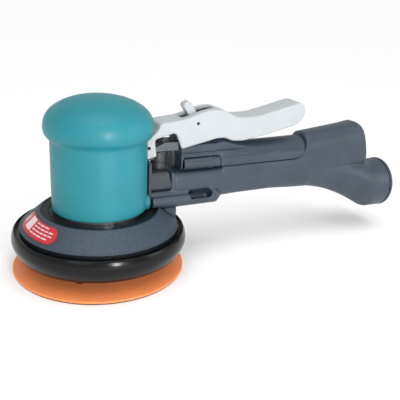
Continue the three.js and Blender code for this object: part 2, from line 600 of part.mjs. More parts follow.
// ================================================================ lever group
{
  const outline = [
    [31.8, 82.9], [40.2, 84.7], [38.4, 97.5], [54.8, 101.6], [60.0, 88.9], [89.2, 95], [95.8, 95], [102.5, 92.1],
    [111.5, 91.5], [121.0, 92.8], [129.4, 94.1], [142.0, 96.6], [152.6, 99.0], [160.6, 100.9], [164.8, 103.4], [167.4, 107.6],
    [168.4, 111.8], [167.6, 115.8], [165.4, 118.4], [161.6, 118.8],
    [152.5, 116.6], [136.7, 112.9], [123.3, 110.1], [111.7, 110], [107.6, 110.3], [104.2, 111.3], [97.5, 114.8], [94.2, 116.3],
    [90.8, 117.1], [85, 117.3], [77.5, 116], [67.5, 112.7], [60, 110.9], [42.5, 109.2], [40.9, 104.8], [36.6, 100.3], [31.8, 97.0],
  ];
  const inner = [
    [20, 70], [20, 98.5], [34.6, 98.5], [41.3, 104.0], [43.2, 107.8], [60.2, 109.5], [67.9, 111.3], [77.9, 114.6],
    [85.1, 115.8], [90.5, 115.6], [93.7, 114.9], [96.9, 113.5], [103.6, 109.9], [107.4, 108.9], [111.7, 108.6],
    [123.5, 108.7], [137, 111.5], [152.8, 115.2], [161.4, 117.3], [164.4, 116.6], [166.2, 114.2], [166.4, 112], [166.4, 70],
  ];
  let s = toSolid(sidePlate(outline, -LEVER_HALF_W, LEVER_HALF_W));
  s = cut(s,
    sidePlate(inner, -LEVER_HALF_W + LEVER_WALL, LEVER_HALF_W - LEVER_WALL),
    block(61.5, 88, -4.4, 4.4, 104, 125),
    rodY(PIN_HOLE_R, -20, 20, LEVER_PIVOT[0], LEVER_PIVOT[1], 12),
    rodY(PIN_HOLE_R, -20, 20, LOCK_PIVOT[0], LOCK_PIVOT[1], 12));
  placeSolid('throttle_lever', s, LEVER);
}
place('lever_pivot_pin', (() => {
  const g = turned([[0.5, -10.7], [PIN_R, -10.7], [PIN_R, 10.7], [0.5, 10.7]], 12);
  g.rotateX(-Math.PI / 2);
  g.translate(LEVER_PIVOT[0], 0, LEVER_PIVOT[1]);
  return g;
})(), STEEL);
{
  const s = cut(toSolid(sidePlate([
    [63.2, 119.4], [64.4, 121.4], [67.2, 122.8], [69.2, 122.1], [74.8, 113.8], [76.2, 107.5], [76.3, 99], [77.2, 92.3],
    [74.2, 91.9], [72.6, 99], [69.8, 104], [69.0, 108.2], [70.2, 112.0], [66.4, 117.4],
  ], -3.6, 3.6)), rodY(PIN_HOLE_R, -10, 10, LOCK_PIVOT[0], LOCK_PIVOT[1], 12));
  placeSolid('lock_off_lever', s, LEVER);
}
place('lock_off_pin', rodY(PIN_R, -10.6, 10.6, LOCK_PIVOT[0], LOCK_PIVOT[1], 12), STEEL);
{
  const g = coil(2.5, 0.35, 4.3, 8.9, 3, 8, 5);
  g.rotateX(-Math.PI / 2);
  g.translate(LOCK_PIVOT[0], 0, LOCK_PIVOT[1]);
  place('lock_off_spring', g, STEEL);
}

export default group;
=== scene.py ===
import bpy, bmesh, math
import numpy as np
from mathutils import Vector, Matrix


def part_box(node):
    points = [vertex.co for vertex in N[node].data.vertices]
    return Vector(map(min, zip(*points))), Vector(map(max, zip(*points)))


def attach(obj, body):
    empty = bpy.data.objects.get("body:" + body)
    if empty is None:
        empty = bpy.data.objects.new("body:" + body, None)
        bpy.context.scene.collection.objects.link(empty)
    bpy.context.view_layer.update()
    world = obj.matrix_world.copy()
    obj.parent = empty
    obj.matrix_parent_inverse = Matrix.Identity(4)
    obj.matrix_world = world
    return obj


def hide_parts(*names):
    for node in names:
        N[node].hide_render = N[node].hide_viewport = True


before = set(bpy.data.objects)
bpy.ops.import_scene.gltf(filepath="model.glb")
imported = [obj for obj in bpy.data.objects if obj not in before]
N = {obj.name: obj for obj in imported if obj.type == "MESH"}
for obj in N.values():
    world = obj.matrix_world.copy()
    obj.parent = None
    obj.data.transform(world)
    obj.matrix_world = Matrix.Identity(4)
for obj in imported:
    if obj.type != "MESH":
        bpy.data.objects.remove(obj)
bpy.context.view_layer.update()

S = 0.001


def box_mm(node):
    lo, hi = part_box(node)
    return [c / S for c in lo], [c / S for c in hi]


# ------------------------------------------------------------------ mesh helpers (all in mm)
def mesh_object(name, verts, faces):
    me = bpy.data.meshes.new(name)
    me.from_pydata([(x * S, y * S, z * S) for x, y, z in verts], [], faces)
    me.validate()
    ob = bpy.data.objects.new(name, me)
    bpy.context.scene.collection.objects.link(ob)
    bm = bmesh.new()
    bm.from_mesh(me)
    bmesh.ops.remove_doubles(bm, verts=bm.verts, dist=1e-7)
    bmesh.ops.recalc_face_normals(bm, faces=bm.faces)
    bm.to_mesh(me)
    bm.free()
    return ob


def fillet(poly, r, closed=True, n=5):
    """Rounds the corners of a polyline. r is a number, or a list with one radius for each corner."""
    out = []
    m = len(poly)
    for i, p in enumerate(poly):
        ri = r[i] if isinstance(r, (list, tuple)) else r
        if ri <= 0 or (not closed and i in (0, m - 1)):
            out.append(tuple(p))
            continue
        a, b, c = np.array(poly[i - 1], float), np.array(p, float), np.array(poly[(i + 1) % m], float)
        u, v = a - b, c - b
        lu, lv = np.linalg.norm(u), np.linalg.norm(v)
        if lu < 1e-9 or lv < 1e-9:
            continue
        u, v = u / lu, v / lv
        cosang = float(np.clip(u @ v, -1, 1))
        ang = math.acos(cosang)
        if ang > math.pi - 0.02:
            out.append(tuple(p))
            continue
        t = ri / math.tan(ang / 2)
        t = min(t, 0.48 * lu, 0.48 * lv)
        rr = t * math.tan(ang / 2)
        bis = (u + v) / np.linalg.norm(u + v)
        centre = b + bis * (rr / math.sin(ang / 2))
        p0, p1 = b + u * t, b + v * t
        a0 = p0 - centre
        a1 = p1 - centre
        w = math.acos(float(np.clip((a0 @ a1) / (np.linalg.norm(a0) * np.linalg.norm(a1) + 1e-12), -1, 1)))
        steps = max(2, int(math.ceil(n * w / 1.2)))
        for k in range(steps + 1):
            f = k / steps
            if w < 1e-4:
                q = a0 * (1 - f) + a1 * f
            else:
                q = (math.sin((1 - f) * w) * a0 + math.sin(f * w) * a1) / math.sin(w)
            out.append(tuple(centre + q))
    return out


def curve(points, n=6):
    """Catmull-Rom curve through points, ends kept."""
    p = [np.array(q, float) for q in points]
    p = [2 * p[0] - p[1]] + p + [2 * p[-1] - p[-2]]
    out = []
    for i in range(1, len(p) - 2):
        p0, p1, p2, p3 = p[i - 1], p[i], p[i + 1], p[i + 2]
        t0, t1 = 0.0, np.linalg.norm(p1 - p0) ** 0.5
        t2 = t1 + np.linalg.norm(p2 - p1) ** 0.5
        t3 = t2 + np.linalg.norm(p3 - p2) ** 0.5
        for k in range(n):
            t = t1 + (t2 - t1) * k / n
            a1 = (t1 - t) / (t1 - t0) * p0 + (t - t0) / (t1 - t0) * p1
            a2 = (t2 - t) / (t2 - t1) * p1 + (t - t1) / (t2 - t1) * p2
            a3 = (t3 - t) / (t3 - t2) * p2 + (t - t2) / (t3 - t2) * p3
            b1 = (t2 - t) / (t2 - t0) * a1 + (t - t0) / (t2 - t0) * a2
            b2 = (t3 - t) / (t3 - t1) * a2 + (t - t1) / (t3 - t1) * a3
            out.append(tuple((t2 - t) / (t2 - t1) * b1 + (t - t1) / (t2 - t1) * b2))
    out.append(tuple(p[-2]))
    return out


def lathe(name, prof, seg=96, cx=0.0, cy=0.0, phase=0.0):
    """Solid of revolution about an upright axis. prof is a loop of (r, z), or runs from axis to axis."""
    open_ends = prof[0][0] < 1e-6 and prof[-1][0] < 1e-6
    verts, rings = [], []
    for r, z in prof:
        if r < 1e-6:
            rings.append([len(verts)] * seg)
            verts.append((cx, cy, z))
        else:
            rings.append(list(range(len(verts), len(verts) + seg)))
            for k in range(seg):
                a = 2 * math.pi * k / seg + phase
                verts.append((cx + r * math.cos(a), cy + r * math.sin(a), z))
    faces = []
    m = len(rings)
    for i in range(m - 1 if open_ends else m):
        a, b = rings[i], rings[(i + 1) % m]
        for k in range(seg):
            q = [a[k], a[(k + 1) % seg], b[(k + 1) % seg], b[k]]
            q = [v for j, v in enumerate(q) if v not in q[:j]]
            if len(q) > 2:
                faces.append(q)
    return mesh_object(name, verts, faces)


def prism(name, outline, h0, h1, plane="xz"):
    """Outline given a thickness. plane xz: outline (x, z), thickness along y; xy: along z; yz: along x."""
    m = len(outline)
    put = {"xz": lambda u, v, h: (u, h, v), "xy": lambda u, v, h: (u, v, h), "yz": lambda u, v, h: (h, u, v)}[plane]
    verts = [put(u, v, h0) for u, v in outline] + [put(u, v, h1) for u, v in outline]
    faces = [list(range(m)), list(range(m, 2 * m))] + [[i, (i + 1) % m, m + (i + 1) % m, m + i] for i in range(m)]
    return mesh_object(name, verts, faces)


def box(name, x0, x1, y0, y1, z0, z1):
    return prism(name, [(x0, y0), (x1, y0), (x1, y1), (x0, y1)], z0, z1, "xy")


def rod(name, r, a, b, seg=48, r1=None, axis="x", at=(0, 0), chamfer=0.0):
    """Round bar along an axis from a to b; at gives the other two coordinates in x, y, z order."""
    r1 = r if r1 is None else r1
    prof = [(0, a)]
    if chamfer:
        prof += [(r - chamfer, a), (r - chamfer * 0.3, a + chamfer * 0.3), (r, a + chamfer), (r1, b - chamfer),
                 (r1 - chamfer * 0.3, b - chamfer * 0.3), (r1 - chamfer, b)]
    else:
        prof += [(r, a), (r1, b)]
    prof += [(0, b)]
    ob = lathe(name, prof, seg)
    turn(ob, axis, at)
    return ob


def turn(ob, axis, at):
    if axis == "x":
        m = Matrix(((0, 0, 1, 0), (1, 0, 0, at[0] * S), (0, 1, 0, at[1] * S), (0, 0, 0, 1)))
    elif axis == "y":
        m = Matrix(((0, 1, 0, at[0] * S), (0, 0, 1, 0), (1, 0, 0, at[1] * S), (0, 0, 0, 1)))
    else:
        m = Matrix(((1, 0, 0, at[0] * S), (0, 1, 0, at[1] * S), (0, 0, 1, 0), (0, 0, 0, 1)))
    ob.data.transform(m)
    return ob


def axis_lathe(name, prof, axis, at, seg=64):
    ob = lathe(name, prof, seg)
    return turn(ob, axis, at)


def smooth_stations(st, n=8):
    """Interpolates station values (x, w, z0, z1, n, lean) by monotone-ish cubic, n steps a span."""
    keys = ["x", "w", "z0", "z1", "n", "lean", "m"]
    arr = np.array([[s.get(k, {"n": 2, "lean": 0, "m": s.get("n", 2)}.get(k)) for k in keys] for s in st], float)
    x = arr[:, 0]
    out = []
    d = np.diff(arr, axis=0) / np.diff(x)[:, None]
    m = np.zeros_like(arr)
    m[0], m[-1] = d[0], d[-1]
    for i in range(1, len(st) - 1):
        same = d[i - 1] * d[i] > 0
        h0, h1 = x[i] - x[i - 1], x[i + 1] - x[i]
        w1, w2 = 2 * h1 + h0, h1 + 2 * h0
        with np.errstate(divide="ignore", invalid="ignore"):
            v = (w1 + w2) / (w1 / d[i - 1] + w2 / d[i])
        m[i] = np.where(same, v, 0)
    for i in range(len(st) - 1):
        h = x[i + 1] - x[i]
        for k in range(n):
            t = k / n
            h00, h10, h01, h11 = 2 * t**3 - 3 * t**2 + 1, t**3 - 2 * t**2 + t, -2 * t**3 + 3 * t**2, t**3 - t**2
            v = h00 * arr[i] + h10 * h * m[i] + h01 * arr[i + 1] + h11 * h * m[i + 1]
            v[0] = x[i] + t * h
            out.append(dict(zip(keys, v)))
    out.append(dict(zip(keys, arr[-1])))
    return out


def loft(name, st, around=72, n=8, y0=0.0):
    st = smooth_stations(st, n) if n > 1 else [{**{"n": 2, "lean": 0, "m": s.get("n", 2)}, **s} for s in st]
    verts, faces = [], []
    for s in st:
        zc, h = (s["z0"] + s["z1"]) / 2, (s["z1"] - s["z0"]) / 2
        for k in range(around):
            a = 2 * math.pi * (k + 0.5) / around
            c, q = math.cos(a), math.sin(a)
            e = 2 / (s["m"] if q > 0 else s["n"])
            y = s["w"] * math.copysign(abs(c) ** e, c)
            z = zc + h * math.copysign(abs(q) ** e, q)
            verts.append((s["x"] + s["lean"] * (z - zc), y0 + y, z))
    m = len(st)
    for i in range(m - 1):
        for k in range(around):
            faces.append([i * around + k, i * around + (k + 1) % around, (i + 1) * around + (k + 1) % around, (i + 1) * around + k])
    faces.append(list(range(around)))
    faces.append(list(range((m - 1) * around, m * around)))
    return mesh_object(name, verts, faces)


def applied(ob):
    """Replaces the mesh by its evaluated one and clears the modifiers."""
    bpy.context.view_layer.update()
    dg = bpy.context.evaluated_depsgraph_get()
    me = bpy.data.meshes.new_from_object(ob.evaluated_get(dg), depsgraph=dg)
    old = ob.data
    ob.modifiers.clear()
    ob.data = me
    me.name = ob.name
    bpy.data.meshes.remove(old)
    return ob


def boolean(ob, op, *others):
    for o in others:
        m = ob.modifiers.new("b", "BOOLEAN")
        m.object, m.operation, m.solver = o, op, "EXACT"
        applied(ob)
        me = o.data
        bpy.data.objects.remove(o)
        bpy.data.meshes.remove(me)
    return ob


cut = lambda ob, *o: boolean(ob, "DIFFERENCE", *o)
join = lambda ob, *o: boolean(ob, "UNION", *o)
keep = lambda ob, *o: boolean(ob, "INTERSECT", *o)


def remeshed(ob, voxel, smooth=4, factor=0.5):
    m = ob.modifiers.new("r", "REMESH")
    m.mode, m.voxel_size, m.adaptivity = "VOXEL", voxel * S, 0.0
    s = ob.modifiers.new("s", "SMOOTH")
    s.factor, s.iterations = factor, smooth
    return applied(ob)


def bevelled(ob, width, segments=3, angle=30):
    m = ob.modifiers.new("bevel", "BEVEL")
    m.width, m.segments, m.limit_method, m.angle_limit = width * S, segments, "ANGLE", math.radians(angle)
    m.harden_normals = False
    return ob


def tidy(ob, angle=34):
    ob.data.shade_smooth()
    ob.data.set_sharp_from_angle(angle=math.radians(angle))
    return ob


def stand_in(ob, body, nodes, mat, angle=34):
    tidy(ob, angle)
    ob.data.materials.clear()
    ob.data.materials.append(mat)
    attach(ob, body)
    if nodes:
        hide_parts(*nodes)
    return ob


# ------------------------------------------------------------------ materials
def lin(c):
    return tuple((x / 12.92 if x <= 0.04045 else ((x + 0.055) / 1.055) ** 2.4) for x in (v / 255 for v in c)) + (1.0,)


class Mat:
    """A Principled material with a small kit for noise, colour variation and bump."""

    def __init__(self, name, rgb, rough, metal=0.0, **sockets):
        self.m = bpy.data.materials.new(name)
        self.m.use_nodes = True
        self.t = self.m.node_tree
        self.p = self.t.nodes["Principled BSDF"]
        self.rgb = lin(rgb)
        self.p.inputs["Base Color"].default_value = self.rgb
        self.p.inputs["Roughness"].default_value = rough
        self.p.inputs["Metallic"].default_value = metal
        for k, v in sockets.items():
            self.p.inputs[k.replace("_", " ")].default_value = v
        self.geo = self.t.nodes.new("ShaderNodeTexCoord")
        self.height = None

    def node(self, kind, **kw):
        n = self.t.nodes.new(kind)
        for k, v in kw.items():
            setattr(n, k, v)
        return n

    def noise(self, scale, detail=3.0, rough=0.55, stretch=None):
        n = self.node("ShaderNodeTexNoise")
        n.inputs["Scale"].default_value = scale
        n.inputs["Detail"].default_value = detail
        n.inputs["Roughness"].default_value = rough
        if stretch:
            mp = self.node("ShaderNodeMapping")
            mp.inputs["Scale"].default_value = stretch
            self.t.links.new(self.geo.outputs["Object"], mp.inputs["Vector"])
            self.t.links.new(mp.outputs["Vector"], n.inputs["Vector"])
        else:
            self.t.links.new(self.geo.outputs["Object"], n.inputs["Vector"])
        return n.outputs["Fac"]

    def voronoi(self, scale, feature="F1"):
        n = self.node("ShaderNodeTexVoronoi", feature=feature)
        n.inputs["Scale"].default_value = scale
        self.t.links.new(self.geo.outputs["Object"], n.inputs["Vector"])
        return n.outputs["Distance"]

    def ramp(self, fac, stops):
        n = self.node("ShaderNodeValToRGB")
        e = n.color_ramp.elements
        e[0].position, e[0].color = stops[0][0], stops[0][1]
        e[1].position, e[1].color = stops[-1][0], stops[-1][1]
        for pos, col in stops[1:-1]:
            x = e.new(pos)
            x.color = col
        self.t.links.new(fac, n.inputs["Fac"])
        return n.outputs["Color"]

    def remap(self, fac, lo, hi, a=0.3, b=0.7):
        n = self.node("ShaderNodeMapRange")
        n.inputs["From Min"].default_value, n.inputs["From Max"].default_value = a, b
        n.inputs["To Min"].default_value, n.inputs["To Max"].default_value = lo, hi
        self.t.links.new(fac, n.inputs["Value"])
        return n.outputs["Result"]

    def vary_color(self, fac, dark=0.9, light=1.08, a=0.3, b=0.7):
        c = self.rgb
        lo = tuple(min(1, x * dark) for x in c[:3]) + (1,)
        hi = tuple(min(1, x * light) for x in c[:3]) + (1,)
        self.t.links.new(self.ramp(fac, [(a, lo), (b, hi)]), self.p.inputs["Base Color"])
        return self

    def vary_rough(self, fac, lo, hi, a=0.3, b=0.7):
        self.t.links.new(self.remap(fac, lo, hi, a, b), self.p.inputs["Roughness"])
        return self

    def bump(self, fac, strength, dist_mm):
        b = self.node("ShaderNodeBump")
        b.inputs["Strength"].default_value = strength
        b.inputs["Distance"].default_value = dist_mm * S
        self.t.links.new(fac, b.inputs["Height"])
        if self.height is not None:
            self.t.links.new(self.height, b.inputs["Normal"])
        self.height = b.outputs["Normal"]
        self.t.links.new(self.height, self.p.inputs["Normal"])
        return self


def make_materials():
    M = {}
    t = Mat("teal_soft_plastic", (28, 122, 132), 0.34, Specular_IOR_Level=0.36)
    t.vary_color(t.noise(38, 4), 0.94, 1.06).vary_rough(t.noise(210, 3), 0.36, 0.48)
    t.bump(t.noise(1500, 3, 0.6), 0.5, 0.10).bump(t.noise(700, 2), 0.3, 0.12)
    M["teal"] = t.m
    t = Mat("handle_composite", (44, 56, 68), 0.32, Specular_IOR_Level=0.55)
    t.vary_color(t.noise(60, 5), 0.85, 1.18).vary_rough(t.noise(260, 4), 0.34, 0.5)
    t.bump(t.noise(1300, 3, 0.6), 0.45, 0.10).bump(t.noise(140, 3), 0.10, 0.25)
    M["handle"] = t.m
    t = Mat("shroud_texture", (52, 64, 75), 0.5, Specular_IOR_Level=0.35)
    t.vary_color(t.noise(900, 4), 0.72, 1.3).vary_rough(t.noise(300, 3), 0.42, 0.62)
    t.bump(t.noise(1500, 3, 0.65), 0.55, 0.12)
    M["shroud"] = t.m
    # shroud_smooth_and_painted_shade: the smoother unstippled finish, made much darker than the cone so it also stands
    # for painted shade in the recesses and on walls turned away from the light
    t = Mat("shroud_smooth_and_painted_shade", (18, 21, 24), 0.42, Specular_IOR_Level=0.2)
    t.vary_color(t.noise(120, 4), 0.9, 1.12).vary_rough(t.noise(160, 3), 0.36, 0.5)
    t.bump(t.noise(1200, 2), 0.1, 0.04)
    M["shroud_smooth_and_painted_shade"] = t.m
    t = Mat("skirt_rubber", (8, 9, 10), 0.11, Specular_IOR_Level=0.24)
    t.vary_color(t.noise(45, 4), 0.85, 1.2).vary_rough(t.noise(90, 5), 0.15, 0.27)
    t.bump(t.noise(70, 3), 0.05, 0.5).bump(t.noise(1500, 2), 0.06, 0.03)
    M["skirt"] = t.m
    t = Mat("pad_urethane", (243, 138, 82), 0.5, Specular_IOR_Level=0.4, Subsurface_Weight=0.06)
    t.vary_color(t.noise(70, 4), 0.94, 1.05).vary_rough(t.noise(300, 3), 0.48, 0.62)
    t.bump(t.noise(1400, 3), 0.16, 0.05)
    M["pad"] = t.m
    t = Mat("pad_hub_red", (176, 66, 48), 0.5)
    t.vary_color(t.noise(90, 4), 0.9, 1.1).bump(t.noise(1200, 3), 0.15, 0.05)
    M["hub"] = t.m
    t = Mat("hook_pile", (40, 40, 43), 0.92, Sheen_Weight=0.35, Sheen_Roughness=0.5)
    t.vary_color(t.voronoi(1400), 0.55, 1.7, 0.05, 0.6).bump(t.voronoi(1400), 0.9, 0.4).bump(t.noise(3000, 2), 0.4, 0.1)
    M["hook"] = t.m
    t = Mat("lever_paint", (174, 179, 182), 0.42, Specular_IOR_Level=0.5)
    t.vary_color(t.noise(55, 4), 0.97, 1.03).vary_rough(t.noise(240, 4), 0.36, 0.5)
    t.bump(t.noise(1500, 3), 0.12, 0.04).bump(t.noise(160, 2), 0.05, 0.15)
    M["lever"] = t.m
    t = Mat("barrel_black", (52, 56, 61), 0.36, 0.1)
    t.vary_color(t.noise(80, 4), 0.8, 1.25).vary_rough(t.noise(200, 4), 0.24, 0.4)
    t.bump(t.noise(900, 3), 0.12, 0.04)
    M["barrel"] = t.m
    t = Mat("casting_black", (50, 55, 61), 0.42, 0.1)
    t.vary_color(t.noise(80, 4), 0.85, 1.18).vary_rough(t.noise(200, 4), 0.34, 0.5)
    t.bump(t.noise(900, 4), 0.22, 0.08)
    M["casting"] = t.m
    t = Mat("machined_aluminium", (176, 180, 184), 0.34, 1.0)
    t.vary_color(t.noise(60, 4), 0.9, 1.06).vary_rough(t.noise(900, 3, stretch=(1, 1, 12)), 0.24, 0.42)
    t.bump(t.noise(1300, 2, stretch=(1, 1, 14)), 0.12, 0.03)
    M["aluminium"] = t.m
    t = Mat("cap_grey", (84, 92, 98), 0.42, 0.2)
    t.vary_color(t.noise(90, 4), 0.88, 1.1).vary_rough(t.noise(400, 3), 0.36, 0.5).bump(t.noise(1400, 3), 0.18, 0.05)
    M["cap"] = t.m
    t = Mat("turned_steel", (188, 190, 192), 0.27, 1.0)
    t.vary_color(t.noise(70, 4), 0.88, 1.05).vary_rough(t.noise(1200, 3, stretch=(1, 1, 10)), 0.18, 0.36)
    t.bump(t.noise(1500, 2, stretch=(1, 1, 12)), 0.1, 0.03)
    M["steel"] = t.m
    t = Mat("blackened_steel", (44, 45, 47), 0.42, 0.6)
    t.vary_color(t.noise(90, 3), 0.85, 1.15).vary_rough(t.noise(700, 3), 0.34, 0.5)
    M["dark_steel"] = t.m
    t = Mat("ground_bearing_steel", (205, 207, 210), 0.16, 1.0)
    t.vary_rough(t.noise(700, 3), 0.1, 0.22).vary_color(t.noise(90, 3), 0.94, 1.03)
    M["bearing"] = t.m
    t = Mat("seal_rubber", (28, 28, 30), 0.75)
    t.vary_color(t.noise(120, 4), 0.8, 1.2).bump(t.noise(900, 3), 0.2, 0.06)
    M["seal"] = t.m
    t = Mat("brass", (196, 160, 84), 0.3, 1.0)
    t.vary_rough(t.noise(600, 3), 0.22, 0.4).vary_color(t.noise(90, 3), 0.85, 1.08)
    M["brass"] = t.m
    t = Mat("felt_grey", (140, 142, 138), 0.95, Sheen_Weight=0.4)
    t.vary_color(t.noise(700, 5, 0.7), 0.7, 1.2).bump(t.noise(900, 5, 0.75), 0.9, 0.5)
    M["felt"] = t.m
    t = Mat("blade_fibre", (112, 78, 52), 0.6)
    t.vary_color(t.noise(400, 4, stretch=(1, 1, 8)), 0.75, 1.2).bump(t.noise(500, 3, stretch=(1, 1, 8)), 0.25, 0.06)
    M["fibre"] = t.m
    t = Mat("label_red", (178, 24, 40), 0.38, Coat_Weight=0.3, Coat_Roughness=0.25)
    t.vary_color(t.noise(200, 3), 0.95, 1.06).vary_rough(t.noise(400, 3), 0.32, 0.46)
    M["label"] = t.m
    # Dark red rim under the label's outline: painted shadow along the label's edge
    t = Mat("label_painted_shadow_edge", (112, 24, 34), 0.4)
    t.vary_color(t.noise(220, 3), 0.96, 1.03).vary_rough(t.noise(400, 3), 0.34, 0.48)
    M["label_painted_shadow_edge"] = t.m
    t = Mat("label_white", (220, 200, 202), 0.4)
    t.vary_color(t.noise(220, 3), 0.96, 1.0).vary_rough(t.noise(400, 3), 0.34, 0.48)
    M["label_white"] = t.m
    return M


M = make_materials()

# ------------------------------------------------------------------ driving sizes, mm
EY = 2.4
PIVOT = (33.8, 91.7)
LOCK = (72.5, 107.6)
VX = 45.6
BY, BZ = 12.2, 51.2
TY, TZ = 9.5, 77.2
PZ = 39.5


def holes_circle(z0, z1, r=4.75, n=5, circle=40.0, chamfer=0.0):
    out = []
    for i in range(n):
        a = math.pi / 2 + i * 2 * math.pi / n
        out.append(lathe("h", [(0, z0), (r, z0), (r, z1), (0, z1)], 40, circle * math.cos(a), EY + circle * math.sin(a)))
    return out


# ------------------------------------------------------------------ pad and hook face
pad_prof = fillet([(0, 0.8), (62.9, 0.8), (63.5, 1.2), (63.5, 2.6), (50, 4.5), (36, 6.6), (29, 9.0), (0, 9.0)],
                  [0, .3, .3, .45, 30, 6, 1.2, 0], n=8)
ob = cut(lathe("pad", pad_prof, 160, 0, EY), *holes_circle(0, 12))
bevelled(ob, 0.18, 2, 50)
stand_in(ob, "pad", ["pad"], M["pad"], 40)
ob.data.materials.append(M["hub"])
for f in ob.data.polygons:
    c = f.center / S
    if math.hypot(c.x, c.y - EY) < 41.5 and c.z > 4.2 and f.normal.z > 0.3:
        f.material_index = 1

hook = fillet([(0, 0), (62.7, 0), (62.7, 0.5), (0, 0.5)], [0, .2, .12, 0], n=5)
ob = cut(lathe("hook_face", hook, 160, 0, EY), *holes_circle(-1, 3))
stand_in(ob, "pad", ["hook_face"], M["hook"], 40)

ob = lathe("pad_backing_plate", fillet([(0, 9.3), (27, 9.3), (26.6, 10.9), (8.8, 11.3), (8.4, 13.2), (4, 13.2), (4, 23.4), (0, 23.4)],
                                       [0, .3, .5, 1, .4, .3, .5, 0]), 96, 0, EY)
stand_in(ob, "pad", ["pad_backing_plate"], M["steel"])

# ------------------------------------------------------------------ skirt, shroud, clamp ring, label, spout
skirt = (
    fillet([(57.0, 29.3), (57.0, 31.15), (58.3, 31.15), (60.7, 30.5), (61.15, 32.6), (61.5, 33.0), (62.0, 32.8), (62.7, 31.6)], [.1, .2, .3, .5, .3, .3, .4, .4][:8], closed=False, n=6)
    + curve([(62.7, 31.6), (63.35, 29.7), (63.8, 27.0), (63.75, 25.0), (63.1, 22.5), (62.0, 19.9), (60.6, 17.4), (59.4, 15.9)], 6)[1:]
    + [(58.9, 15.5), (58.2, 15.3), (57.4, 15.35), (57.0, 15.8), (57.2, 16.4)]
    + curve([(57.2, 16.4), (58.5, 18.8), (59.8, 21.8), (60.7, 25.2), (60.6, 27.4), (60.2, 28.2)], 5)[1:]
    + [(59.4, 28.5)]
)
stand_in(lathe("skirt", skirt, 224), "body", ["skirt"], M["skirt"], 60)

shroud_prof = fillet(
    [(31.3, 43.3), (31.3, 45.3), (36.3, 45.3), (37.3, 46.2), (41.4, 46.2), (42.5, 46.95), (43.9, 46.75), (56.55, 35.6), (57.15, 35.45), (57.8, 35.0), (57.8, 31.4),
     (55.6, 31.4), (55.6, 33.2), (44.0, 43.3)],
    [.15, .4, .6, .7, .8, .5, 1.3, .25, .2, .3, .2, .2, .6, .5], n=6)
ob = lathe("shroud", shroud_prof, 224)
ob = cut(ob, prism("c", fillet([(43.2, -9.6), (53.6, -9.6), (53.6, 9.6), (43.2, 9.6)], 1.2), 30, 60, "xy"))
bevelled(ob, 0.2, 2, 50)
stand_in(ob, "body", ["shroud"], M["shroud"], 32)
# Second material on the inner neck ring (r < 43) and on every face turned sideways or downward: partly the shroud's
# smooth finish, partly painted shade on the collar recess and the rim wall
ob.data.materials.append(M["shroud_smooth_and_painted_shade"])
for f in ob.data.polygons:
    c = f.center / S
    r = math.hypot(c.x, c.y)
    if r < 43.0 or f.normal.z < 0.2:
        f.material_index = 1

ob = lathe("shroud_clamp_ring", fillet([(31.3, 41.2), (36, 41.2), (36, 43.0), (31.3, 43.0)], .3), 96)
stand_in(ob, "body", ["shroud_clamp_ring"], M["steel"])


def cone_patch(name, left, right, s0, s1, lift, thick, rows=26, cols=60):
    """A thin film on the shroud's cone between two azimuth limits, each a function of the distance s down the slope."""
    nr, nz = 0.6659, 0.7460
    dr, dz = 0.7460, -0.6659
    verts, faces = [], []
    for layer in (lift, lift + thick):
        for j in range(rows + 1):
            s = s0 + (s1 - s0) * j / rows
            r, z = 45.2 + s * dr, 45.7 + s * dz
            r, z = r + nr * layer, z + nz * layer
            a0, a1 = left(s), right(s)
            for i in range(cols + 1):
                a = math.radians(a0 + (a1 - a0) * i / cols)
                verts.append((r * math.cos(a), r * math.sin(a), z))
    w, h = cols + 1, rows + 1
    top = w * h
    for j in range(rows):
        for i in range(cols):
            q = [j * w + i, j * w + i + 1, (j + 1) * w + i + 1, (j + 1) * w + i]
            faces.append(q)
            faces.append([v + top for v in reversed(q)])
    edge = [i for i in range(w)] + [j * w + w - 1 for j in range(1, h)] + [(h - 1) * w + i for i in range(w - 2, -1, -1)] + [j * w for j in range(h - 2, 0, -1)]
    m = len(edge)
    for k in range(m):
        a, b = edge[k], edge[(k + 1) % m]
        faces.append([a, b, b + top, a + top])
    return mesh_object(name, verts, faces)


LS0, LS1 = 0.35, 13.7


def label_right(s, grow=0.0):
    t = (s - LS0) / (LS1 - LS0)
    return 211.0 + grow + 7.6 * math.sqrt(max(0.0, 1 - (2 * t - 1) ** 2 * 0.995))


def label_left(s, grow=0.0):
    t = (s - LS0) / (LS1 - LS0)
    return 169.5 - grow + 5.2 * t - 8.6 * math.sqrt(max(0.0, 1 - (2 * t - 1) ** 2 * 0.995))


